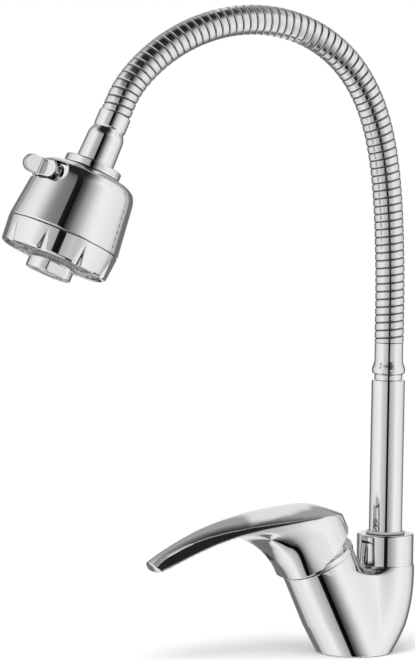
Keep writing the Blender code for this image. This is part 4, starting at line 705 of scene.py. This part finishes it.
# Name, outline as radius and height, radius of its corners, finish, body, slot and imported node
RISER_PIECES = (
    ("collar_shell",
     ((11.3, 77.4), (18.75, 77.4), (18.75, 57.3), (15.9, 57.3), (15.9, 72.7), (11.3, 72.7)),
     (0.3, 1.3, 0.25, 0.2, 0.2, 0.2), "chrome", "tap_body", "chrome_plate", "riser_collar"),
    ("wiper_ring",
     ((11.25, 77.5), (12.9, 77.5), (12.9, 79.0), (11.25, 79.0)),
     0.7, "wiper", "tap_body", "seal_rubber", "riser_wiper"),
    ("riser_shell",
     ((11.0, 179.0), (11.0, 73.0), (8.5, 73.0), (8.5, 179.0)),
     (0.45, 0.2, 0.2, 0.2), "chrome", "riser", "chrome_plate", "riser_tube"),
    ("foot_ferrule",
     ((4.8, 211.7), (4.8, 203.7), (9.4, 203.7), (9.4, 190.8), (11.0, 187.0), (11.0, 183.9), (9.25, 182.6),
      (9.25, 179.3), (8.2, 179.3), (8.2, 166.0), (3.8, 166.0), (3.8, 211.7)),
     (0.3, 0.3, 0.6, 2.4, 2.2, 1.1, 0.3, 0.2, 0.2, 0.2, 0.2, 0.2), "chrome", "riser", "chrome_plate",
     "lower_ferrule"),
)


class FAUCET_OT_riser(bpy.types.Operator):
    """Riser: its collar on the hub, the wiper ring, the tube and the ferrule that holds the hose"""

    bl_idname = "mesh.faucet_riser"
    bl_label = "Riser"

    def execute(self, context):
        for name, outline, corners, word, body, slot, node in RISER_PIECES:
            turned(name, outline, RISER, word, body, slot, (node,), corners)
        return {"FINISHED"}


# Hose

HOSE_AROUND, HOSE_PER_PITCH, HOSE_INNER_ROWS = 80, 26, 7
HOSE_INNER_RADIUS = 8.45
BAND_CROWN = 0.12


def hose_ring(s, angle, out):
    """Points at a radius round the hose's line, at given distances along it and turns round it."""
    y, z, lean = hose_line(s)
    side = np.sin(angle) * out
    return np.stack([np.cos(angle) * out, y + side * np.cos(lean), z + side * np.sin(lean)], -1)


def hose_skin(start, end):
    """A stretch of the hose between two distances along its line: points, faces, normals and how
    deep each point lies in the groove. The groove is a helix: a point's place in the pitch is its
    distance less its turn's share of one pitch, and the radius dips by a flat-bottomed curve of it."""
    pitch = sizes().band_pitch / MM
    half_groove = sizes().groove_width / MM / 2
    rows = max(int(round((end - start) / pitch * HOSE_PER_PITCH)), 6)
    along = start + (end - start) / rows * np.arange(-1, rows + 2)
    phi = np.arange(-1, HOSE_AROUND + 1) * math.tau / HOSE_AROUND
    s, angle = np.meshgrid(along, phi, indexing="ij")
    phase = np.mod(s - pitch * angle / math.tau + pitch * 0.25, pitch)
    dip = 1.0 / (1.0 + (np.minimum(phase, pitch - phase) / half_groove) ** 6)
    crown = BAND_CROWN * np.abs((phase - pitch / 2) / (pitch / 2)) ** 5
    place = hose_ring(s, angle, (sizes().band_radius - sizes().groove_depth * dip) / MM - crown)
    run = place[2:, 1:-1] - place[:-2, 1:-1]
    turn = place[1:-1, 2:] - place[1:-1, :-2]
    normal = np.cross(turn, run)
    normal /= np.linalg.norm(normal, axis=-1, keepdims=True)
    outer = place[1:-1, 1:-1]
    s, angle = np.meshgrid(np.linspace(end, start, HOSE_INNER_ROWS), phi[1:-1], indexing="ij")
    inner = hose_ring(s, angle, HOSE_INNER_RADIUS)
    inward = (hose_ring(s, angle, 0.0) - inner) / HOSE_INNER_RADIUS
    points = np.concatenate([outer, inner]).reshape(-1, 3)
    normals = np.concatenate([normal, inward]).reshape(-1, 3)
    deep = np.concatenate([dip[1:-1, 1:-1], np.ones(s.shape)]).reshape(-1)
    return points, grid_faces(len(outer) + len(inner), HOSE_AROUND), normals, deep


class FAUCET_OT_hose(bpy.types.Operator):
    """Ribbed gooseneck: one skin for each joint of the chain, from mid link to mid link"""

    bl_idname = "mesh.faucet_hose"
    bl_label = "Gooseneck"

    def execute(self, context):
        ends = [0.0, *[LINK * (k - 0.5) for k in range(1, LINKS + 1)], LINK * LINKS]
        bodies = ["riser", *[f"hose_{k:02d}" for k in range(2, LINKS + 1)]]
        for number, (start, end) in enumerate(zip(ends, ends[1:])):
            points, faces, normals, deep = hose_skin(start, end)
            links = [k for k in (number, number + 1) if 1 <= k <= LINKS]
            bent = 0 < number < LINKS
            body = None if bent else (bodies[0] if number == 0 else bodies[-1])
            piece = make_piece(
                f"hose_skin_{number:02d}", points, faces, normals, WORLD, "hose", body, "hose_steel",
                [f"hose_link_{k:02d}" for k in links],
            )
            # The groove attribute makes the steel rougher and carries its painted shade down in the groove
            groove = piece.data.attributes.new("groove", "FLOAT", "POINT")
            groove.data.foreach_set("value", deep.astype(np.float32))
            if bent:
                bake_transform(piece)
        return {"FINISHED"}


# Spray head

# Outlines as radius and distance below the hose's end
FACE = ((13.0, 91.5), (33.0, 91.5), (33.0, 94.5), (23.0, 95.9), (13.0, 96.3))
FACE_CORNERS = (0.2, 0.2, 0.8, 4.0, 0.5)
RING = ((36.05, 83.8), (34.75, 98.0), (34.1, 98.9), (33.4, 99.2), (33.1, 99.2), (33.1, 95.4), (33.95, 95.0),
        (33.95, 83.8))
AERATOR = ((12.6, 88.0), (12.6, 99.2), (15.0, 99.2), (15.0, 107.9), (14.4, 108.5), (9.8, 108.5), (9.8, 106.3),
           (10.8, 106.3), (10.8, 88.0))
AERATOR_FLAT, AERATOR_FLAT_TOP = 13.4, 101.6
SHELL = ((8.0, 38.5), (19.0, 38.7), (26.2, 40.0), (30.4, 42.6), (32.3, 47.0), (32.9, 51.0), (36.7, 83.0),
         (38.2, 95.7))
SHELL_EYE, SHELL_WALL, SHELL_END, SHELL_MOUTH, SHELL_SOFTNESS = 64.0, 2.2, 83.0, 10.0, 1.1
SHELL_SLOPE_SHARE = 0.93

# The slot and the lever's plate in it: height, half width, half angle and the radius that it is taken at
SLOT_HEIGHT = 49.5
SLOT = (6.4, 45.0, 32.5)
PLATE = (5.6, 31.0, 33.1)
SLOT_FRONT, SLOT_CORE, SLOT_AWAY = -8.0, 12.0, 5.0

# The mode lever: middle and half size of the plate, the drum and its flange, by radius and by height,
# the flange's edge and hole, and the fin's start, end and half width
PLATE_WALL = (29.9, 3.2)
DRUM_WALL, DRUM_HEIGHT = (26.7, 0.9), (50.4, 6.6)
FLANGE_HEIGHT, FLANGE_RADIUS, FLANGE_HOLE = (55.9, 1.1), 27.6, 6.0
FIN_START, FIN_END, FIN_HALF = 29.0, 38.4, 2.3

# Notches of the face ring: how many, where the first is, where they start, how long they are, the
# radius of their axis, how far that leans in, their first radius and how much it grows
NOTCH_COUNT, NOTCH_FIRST = 9, 13.0
NOTCH_TOP, NOTCH_LENGTH, NOTCH_AXIS, NOTCH_LEAN, NOTCH_POINT, NOTCH_GROWTH = 86.8, 15.0, 36.9, 0.4, 0.3, 3.4

# Nozzles: radius and count of each ring, then one nozzle's radius and height
NOZZLES = ((16.5, 14), (20.2, 18), (23.8, 22), (27.2, 26), (30.4, 30))
NOZZLE = ((0.95, 0.0), (0.8, 0.35), (0.5, 0.55), (0.0, 0.6))
NOZZLE_SIDES = 8
NOZZLE_SINK = 0.05


def lowered(pairs):
    """An outline given as (radius, distance below the hose's end), in the head's frame."""
    return [(r, -h) for r, h in pairs]


def stadium(x, y, h, half_width, half_angle, radius):
    """Distance from a stadium bent round the front of the head: a level stretch between two half
    rounds, measured along a circle of the given radius."""
    along = np.abs(np.arctan2(x, -y)) * radius
    straight = math.radians(half_angle) * radius - half_width
    away = np.hypot(np.maximum(along - straight, 0.0), h - SLOT_HEIGHT) - half_width
    return np.where((y < SLOT_FRONT) & (np.hypot(x, y) > SLOT_CORE), away, SLOT_AWAY)


def shell_field(x, y, z):
    """The head's bell: a wall of even thickness inside a softened line, which is read as distance
    from a point on the axis by angle, open below and at the neck, with the stadium slot cut out."""
    h, r = -z, np.hypot(x, y)
    line = softened(SHELL, SHELL_SOFTNESS)
    angle = np.arctan2(line[:, 0], SHELL_EYE - line[:, 1])
    reach = np.interp(np.arctan2(r, SHELL_EYE - h), angle, np.hypot(line[:, 0], SHELL_EYE - line[:, 1]))
    outer = (np.hypot(r, SHELL_EYE - h) - reach) * SHELL_SLOPE_SHARE
    wall = smooth_max(outer, -(outer + SHELL_WALL), 0.4)
    wall = smooth_max(smooth_max(wall, h - SHELL_END, 1.1), SHELL_MOUTH - r, 0.4)
    return smooth_max(wall, -stadium(x, y, h, *SLOT), 1.0)


def ring_field(x, y, z):
    """The face ring: a turned outline, with tapering notches cut where its lower edge meets nine
    evenly spaced slanted cones."""
    h, r = -z, np.hypot(x, y)
    ring = outline_field(r, h, RING) - 0.5
    half = math.pi / NOTCH_COUNT
    turn = np.mod(np.arctan2(x, -y) - math.radians(NOTCH_FIRST) + half, 2 * half) - half
    aside, out = r * np.sin(turn), r * np.cos(turn)
    down = (h - NOTCH_TOP) / NOTCH_LENGTH
    above = np.minimum(h - NOTCH_TOP, 0.0)
    axis = np.sqrt(aside**2 + (out - NOTCH_AXIS + NOTCH_LEAN * down) ** 2 + above**2)
    return smooth_max(ring, NOTCH_POINT + NOTCH_GROWTH * np.maximum(down, 0.0) - axis, 0.9)


def off_band(value, band):
    """Distance outside a band that is given by its middle and its half size."""
    return np.abs(value - band[0]) - band[1]


def lever_field(x, y, z):
    """The mode lever: a drum behind the slot, a stadium plate in it and a round-ended fin."""
    h, r = -z, np.hypot(x, y)
    drum = np.maximum(off_band(r, DRUM_WALL), off_band(h, DRUM_HEIGHT))
    flange = np.maximum(off_band(h, FLANGE_HEIGHT), np.maximum(r - FLANGE_RADIUS, FLANGE_HOLE - r))
    plate = smooth_max(stadium(x, y, h, *PLATE), off_band(r, PLATE_WALL), 0.9)
    reach = np.hypot(np.maximum(-y - FIN_END, 0.0), h - SLOT_HEIGHT) - PLATE[0]
    fin = smooth_max(smooth_max(reach, np.abs(x) - FIN_HALF, 0.9), FIN_START + y, 0.5)
    return np.minimum(smooth_min(plate, fin, 1.0), np.minimum(drum, flange))


def aerator_field(x, y, z):
    """The aerator: a turned outline with two wrench flats."""
    h, r = -z, np.hypot(x, y)
    flats = np.minimum(np.abs(x) - AERATOR_FLAT, h - AERATOR_FLAT_TOP)
    return smooth_max(outline_field(r, h, AERATOR), flats, 0.4)


def nozzles():
    """All the spray nozzles in one mesh: rings of small round bumps, each a turned line of NOZZLE
    with a flat foot, set a little into the spray face. Gives points and faces."""
    spots = []
    for ring, (radius, count) in enumerate(NOZZLES):
        angle = (np.arange(count) + 0.5 * ring) * math.tau / count
        lift = np.full(count, NOZZLE_SINK - np.interp(radius, *np.array(FACE[:1:-1]).T))
        spots.append(np.stack([radius * np.cos(angle), radius * np.sin(angle), lift], -1))
    spots = np.concatenate(spots)
    wide, high = np.array(NOZZLE).T[:, :, None]
    turn = np.arange(NOZZLE_SIDES) * math.tau / NOZZLE_SIDES
    bump = np.stack([wide * np.cos(turn), wide * np.sin(turn), 0 * turn - high], -1).reshape(-1, 3)
    points = (spots[:, None] + bump[None]).reshape(-1, 3)
    foot = np.arange(len(spots))[:, None, None] * len(bump)
    faces = (grid_faces(len(NOZZLE), NOZZLE_SIDES, closed_rows=False)[None] + foot).reshape(-1, 4).tolist()
    return points, faces + (foot[:, 0] + np.arange(NOZZLE_SIDES)[::-1]).tolist()


# Piece, outline, radius of its corners, finish, body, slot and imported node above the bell
HEAD_TURNED = (
    ("top_ferrule",
     ((9.4, -0.9), (10.4, -0.9), (10.4, 8.6), (9.95, 9.3), (9.95, 10.1), (11.7, 13.6), (12.25, 32.8),
      (8.0, 32.8), (8.0, 52.0), (4.5, 52.0), (4.5, 9.1), (9.4, 9.1)),
     (0.3, 0.5, 0.3, 0.2, 0.3, 3.2, 0.5, 0.2, 0.2, 0.2, 0.2, 0.2), "chrome", "hose_15", "chrome_plate",
     "upper_ferrule"),
    ("collar_ring",
     ((18.5, 33.1), (18.5, 38.2), (8.5, 38.2), (8.5, 33.1)),
     (1.0, 0.5, 0.2, 0.2), "chrome", "spray_head", "chrome_plate", "head_collar"),
)

# Piece, body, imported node, field, two corners and cell of each carved piece
HEAD_SHELLS = (
    ("bell_shell", "spray_head", "head_shell",
     shell_field, (-38.0, -38.0, -84.2), (38.0, 38.0, -37.5), 0.56),
    ("ring_shell", "spray_head", "face_ring",
     ring_field, (-38.0, -38.0, -101.0), (38.0, 38.0, -82.4), 0.42),
    ("mode_lever_shell", "mode_lever", "mode_lever",
     lever_field, (-29.0, -45.2, -58.2), (29.0, 29.0, -42.6), 0.45),
    ("aerator_shell", "spray_head", "aerator_body",
     aerator_field, (-16.0, -16.0, -109.6), (16.0, 16.0, -87.0), 0.42),
)


class FAUCET_OT_head(bpy.types.Operator):
    """Spray head: ferrule on the hose, collar, bell, mode lever, face ring, spray face and aerator"""

    bl_idname = "mesh.faucet_head"
    bl_label = "Spray head"

    def execute(self, context):
        for name, pairs, corners, word, body, slot, node in HEAD_TURNED:
            turned(name, lowered(pairs), HEAD, word, body, slot, (node,), corners)
        for name, body, node, field, low, high, cell in HEAD_SHELLS:
            carved(name, field, low, high, cell, HEAD, "chrome", body, "chrome_plate", (node,))
        turned(
            "grain_face", lowered(FACE), HEAD, "grain", "spray_head", "grey_plastic", ("spray_face",),
            FACE_CORNERS,
        )
        points, faces = nozzles()
        make_piece("spray_nozzles", points, faces, None, HEAD, "grey", "spray_head", "grey_plastic")
        return {"FINISHED"}


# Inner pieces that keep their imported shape

INNER = {
    "rubber": ("base_gasket", "cartridge_seal", "riser_seal_lower", "riser_seal_upper", "swivel_seal",
               "aerator_washer"),
    "ceramic": ("fixed_ceramic_disc", "moving_ceramic_disc", "diverter_disc"),
    "white": ("spindle_carrier", "disc_slider", "riser_bush", "aerator_insert"),
    "grey": ("head_core", "flow_divider"),
    "dark": ("cartridge_case",),
    "brass": ("cartridge_nut", "cartridge_stem"),
    "steel": ("lift_pin", "handle_screw", "riser_snap_ring", "swivel_clip"),
}


class FAUCET_OT_inner(bpy.types.Operator):
    """Finishes of the mixer, the seals, the clips and the water parts inside"""

    bl_idname = "mesh.faucet_inner"
    bl_label = "Inner pieces"

    def execute(self, context):
        for word, names in INNER.items():
            for name in names:
                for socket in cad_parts[name].material_slots:
                    socket.link = "OBJECT"
                    socket.material = named_finish(word)
        return {"FINISHED"}


# Stage

# Camera: degrees, metres and pixels
CAMERA_AZIMUTH = 65.84
CAMERA_HEIGHT = 4.0
CAMERA_ROLL = 0.88
CAMERA_DISTANCE = 1.907
CAMERA_TARGET = (0.0003, -0.1093, 0.2139)
CAMERA_FOCUS_PIXELS = 2978.0
IMAGE_HEIGHT_PIXELS = 660
SENSOR = 24.0

# What metal sees: brightness by turn from the camera's side (0) to the far side (1), then the
# height in degrees of the dark cap and its brightness
TENT = ((0.0, 0.008), (0.035, 0.012), (0.047, 0.50), (0.16, 0.66), (0.34, 1.0), (0.56, 0.9), (0.69, 0.68),
        (0.78, 0.18), (0.94, 0.2), (0.985, 0.85))
CAP_HEIGHT, CAP_GREY = 72.0, (0.02, 0.02, 0.02)
EVEN_GREY, WHITE = (0.8, 0.8, 0.8), (1.0, 1.0, 1.0)

# Lamp and floor in metres and watts
LAMP_PLACE, LAMP_AIM, LAMP_WIDTH, LAMP_POWER = (0.5, -0.5, 1.5), (0.5, -0.5, 1.2), 1.2, 14.0
FLOOR_HOLE, FLOOR_RADIUS, FLOOR_DROP = 0.004, 0.45, 0.0003
FLOOR_RINGS, FLOOR_SIDES = 12, 96
FLOOR_FADE = (0.12, 0.42)


def studio_world():
    """White to the camera; metal sees a pale tent with a dark strip where the camera stands and
    dark ends behind the object; everything else gets an even pale light."""
    world = bpy.data.worlds.new("Studio")
    bpy.context.scene.world = world
    world.use_nodes = True
    tree = world.node_tree
    spot = add_node(tree, "TexCoord", {}).outputs["Generated"]

    def along(vector):
        return add_node(tree, "VectorMath", {0: spot, 1: vector}, operation="DOT_PRODUCT").outputs["Value"]

    def eased(value, low, high, first, last):
        return ranged(tree, value, first, last, low, high, "SMOOTHSTEP")

    azimuth, cap = math.radians(CAMERA_AZIMUTH), math.radians(CAP_HEIGHT)
    aside = along((math.cos(azimuth), math.sin(azimuth), 0.0))
    ahead = along((math.sin(azimuth), -math.cos(azimuth), 0.0))
    above = along((math.sin(azimuth) * math.cos(cap), -math.cos(azimuth) * math.cos(cap), math.sin(cap)))
    sine = along((0.0, 0.0, 1.0))
    turn = maths(tree, "ARCTAN2", aside, ahead)
    turn = maths(tree, "DIVIDE", maths(tree, "ABSOLUTE", turn), math.pi)
    ramp = add_node(tree, "ValToRGB", {"Fac": turn})
    ramp.color_ramp.interpolation = "EASE"
    stops = ramp.color_ramp.elements
    for number, (place, value) in enumerate(TENT):
        stop = stops[number] if number < 2 else stops.new(place)
        stop.position = place
        stop.color = (value, value, value, 1.0)
    off_level = eased(maths(tree, "ABSOLUTE", sine), 0.06, 0.24, 0.0, 1.0)
    dimmed = maths(tree, "MULTIPLY", off_level, eased(aside, -0.06, 0.06, 0.12, 1.0))
    dimmed = maths(tree, "MULTIPLY", dimmed, eased(turn, 0.03, 0.27, 0.9, 0.0))
    shaded = maths(tree, "MULTIPLY", ramp.outputs["Color"], maths(tree, "SUBTRACT", 1.0, dimmed))
    behind = maths(tree, "MULTIPLY", eased(sine, 0.12, 0.36, 0.0, 0.4), eased(turn, 0.55, 0.75, 0.0, 1.0))
    shaded = maths(tree, "MAXIMUM", shaded, behind)
    tent = blended(tree, eased(above, 0.62, 0.96, 0.0, 1.0), shaded, CAP_GREY)
    path = add_node(tree, "LightPath", {}).outputs
    sharp = maths(tree, "MAXIMUM", path["Is Glossy Ray"], path["Is Transmission Ray"])
    seen = blended(tree, path["Is Camera Ray"], blended(tree, sharp, EVEN_GREY, tent), WHITE)
    feed(tree.nodes["Background"], {"Color": seen})


def pale_floor():
    """A round of pale floor under the faucet that fades out into the white round it."""
    finish = named_finish("floor")
    tree = finish.node_tree
    place = tree.nodes["Texture Coordinate"].outputs["Object"]
    far = add_node(tree, "VectorMath", {0: place}, operation="LENGTH").outputs["Value"]
    mirror = add_node(tree, "LightPath", {}).outputs["Is Glossy Ray"]
    near = ranged(tree, far, 1.0, 0.0, *FLOOR_FADE, "SMOOTHSTEP")
    shown = maths(tree, "MAXIMUM", maths(tree, "SUBTRACT", near, mirror), 0.0)
    feed(tree.nodes["Principled BSDF"], {"Specular IOR Level": 0.0, "Alpha": shown})
    angle = np.arange(FLOOR_SIDES) * math.tau / FLOOR_SIDES
    rings = np.linspace(FLOOR_HOLE, FLOOR_RADIUS, FLOOR_RINGS)[:, None]
    points = np.stack([rings * np.cos(angle), rings * np.sin(angle), 0 * rings * angle - FLOOR_DROP], -1)
    faces = grid_faces(FLOOR_RINGS, FLOOR_SIDES, closed_rows=False)[:, ::-1].tolist()
    mesh = bpy.data.meshes.new("floor")
    mesh.from_pydata(points.reshape(-1, 3), [], [*faces, list(range(FLOOR_SIDES))])
    mesh.materials.append(finish)
    floor = bpy.data.objects.new("floor", mesh)
    bpy.context.scene.collection.objects.link(floor)


class FAUCET_OT_stage(bpy.types.Operator):
    """Stage: the white studio, its soft lamp, the pale floor and the camera"""

    bl_idname = "mesh.faucet_stage"
    bl_label = "Stage"

    def execute(self, context):
        scene = context.scene
        studio_world()
        pale_floor()
        azimuth, height, roll = map(math.radians, (CAMERA_AZIMUTH, CAMERA_HEIGHT, CAMERA_ROLL))
        lens = bpy.data.cameras.new("view")
        lens.sensor_fit = "VERTICAL"
        lens.sensor_height = SENSOR
        lens.lens = CAMERA_FOCUS_PIXELS / IMAGE_HEIGHT_PIXELS * SENSOR
        lens.clip_start = 0.05
        camera = bpy.data.objects.new("view", lens)
        turn = Matrix.Rotation(azimuth, 4, "Z") @ Matrix.Rotation(math.pi / 2 - height, 4, "X")
        away = Matrix.Translation((0.0, 0.0, CAMERA_DISTANCE))
        camera.matrix_world = Matrix.Translation(CAMERA_TARGET) @ turn @ away @ Matrix.Rotation(roll, 4, "Z")
        scene.collection.objects.link(camera)
        scene.camera = camera
        lamp = bpy.data.lights.new("soft_top", "AREA")
        lamp.shape = "DISK"
        lamp.size = LAMP_WIDTH
        lamp.energy = LAMP_POWER
        top = bpy.data.objects.new("soft_top", lamp)
        top.location = LAMP_PLACE
        top.rotation_mode = "QUATERNION"
        top.rotation_quaternion = Vector(LAMP_AIM).to_track_quat("Z", "Y")
        top.visible_glossy = False
        scene.collection.objects.link(top)
        scene.view_settings.view_transform = "Standard"
        return {"FINISHED"}


class FAUCET_PT_panel(bpy.types.Panel):
    """The faucet's sizes, colours and pieces"""

    bl_label = "Faucet"
    bl_idname = "FAUCET_PT_panel"
    bl_space_type = "VIEW_3D"
    bl_region_type = "UI"
    bl_category = "Faucet"

    def draw(self, context):
        for group in (context.scene.faucet_sizes, context.scene.faucet_colours):
            for name in group.__annotations__:
                self.layout.prop(group, name)
        for operator in OPERATORS:
            self.layout.operator(operator.bl_idname)


OPERATORS = (
    FAUCET_OT_body,
    FAUCET_OT_handle,
    FAUCET_OT_riser,
    FAUCET_OT_hose,
    FAUCET_OT_head,
    FAUCET_OT_inner,
    FAUCET_OT_stage,
)
CLASSES = (FaucetSizes, FaucetColours, *OPERATORS, FAUCET_PT_panel)


def register():
    """Register the classes and hang the two groups of settings on the scene."""
    for item in CLASSES:
        bpy.utils.register_class(item)
    bpy.types.Scene.faucet_sizes = bpy.props.PointerProperty(type=FaucetSizes)
    bpy.types.Scene.faucet_colours = bpy.props.PointerProperty(type=FaucetColours)


def unregister():
    """Take the settings and the classes away again."""
    del bpy.types.Scene.faucet_colours
    del bpy.types.Scene.faucet_sizes
    for item in reversed(CLASSES):
        bpy.utils.unregister_class(item)


def main():
    register()
    bpy.ops.mesh.faucet_body()
    bpy.ops.mesh.faucet_handle()
    bpy.ops.mesh.faucet_riser()
    bpy.ops.mesh.faucet_hose()
    bpy.ops.mesh.faucet_head()
    bpy.ops.mesh.faucet_inner()
    bpy.ops.mesh.faucet_stage()


if __name__ == "__main__":
    main()
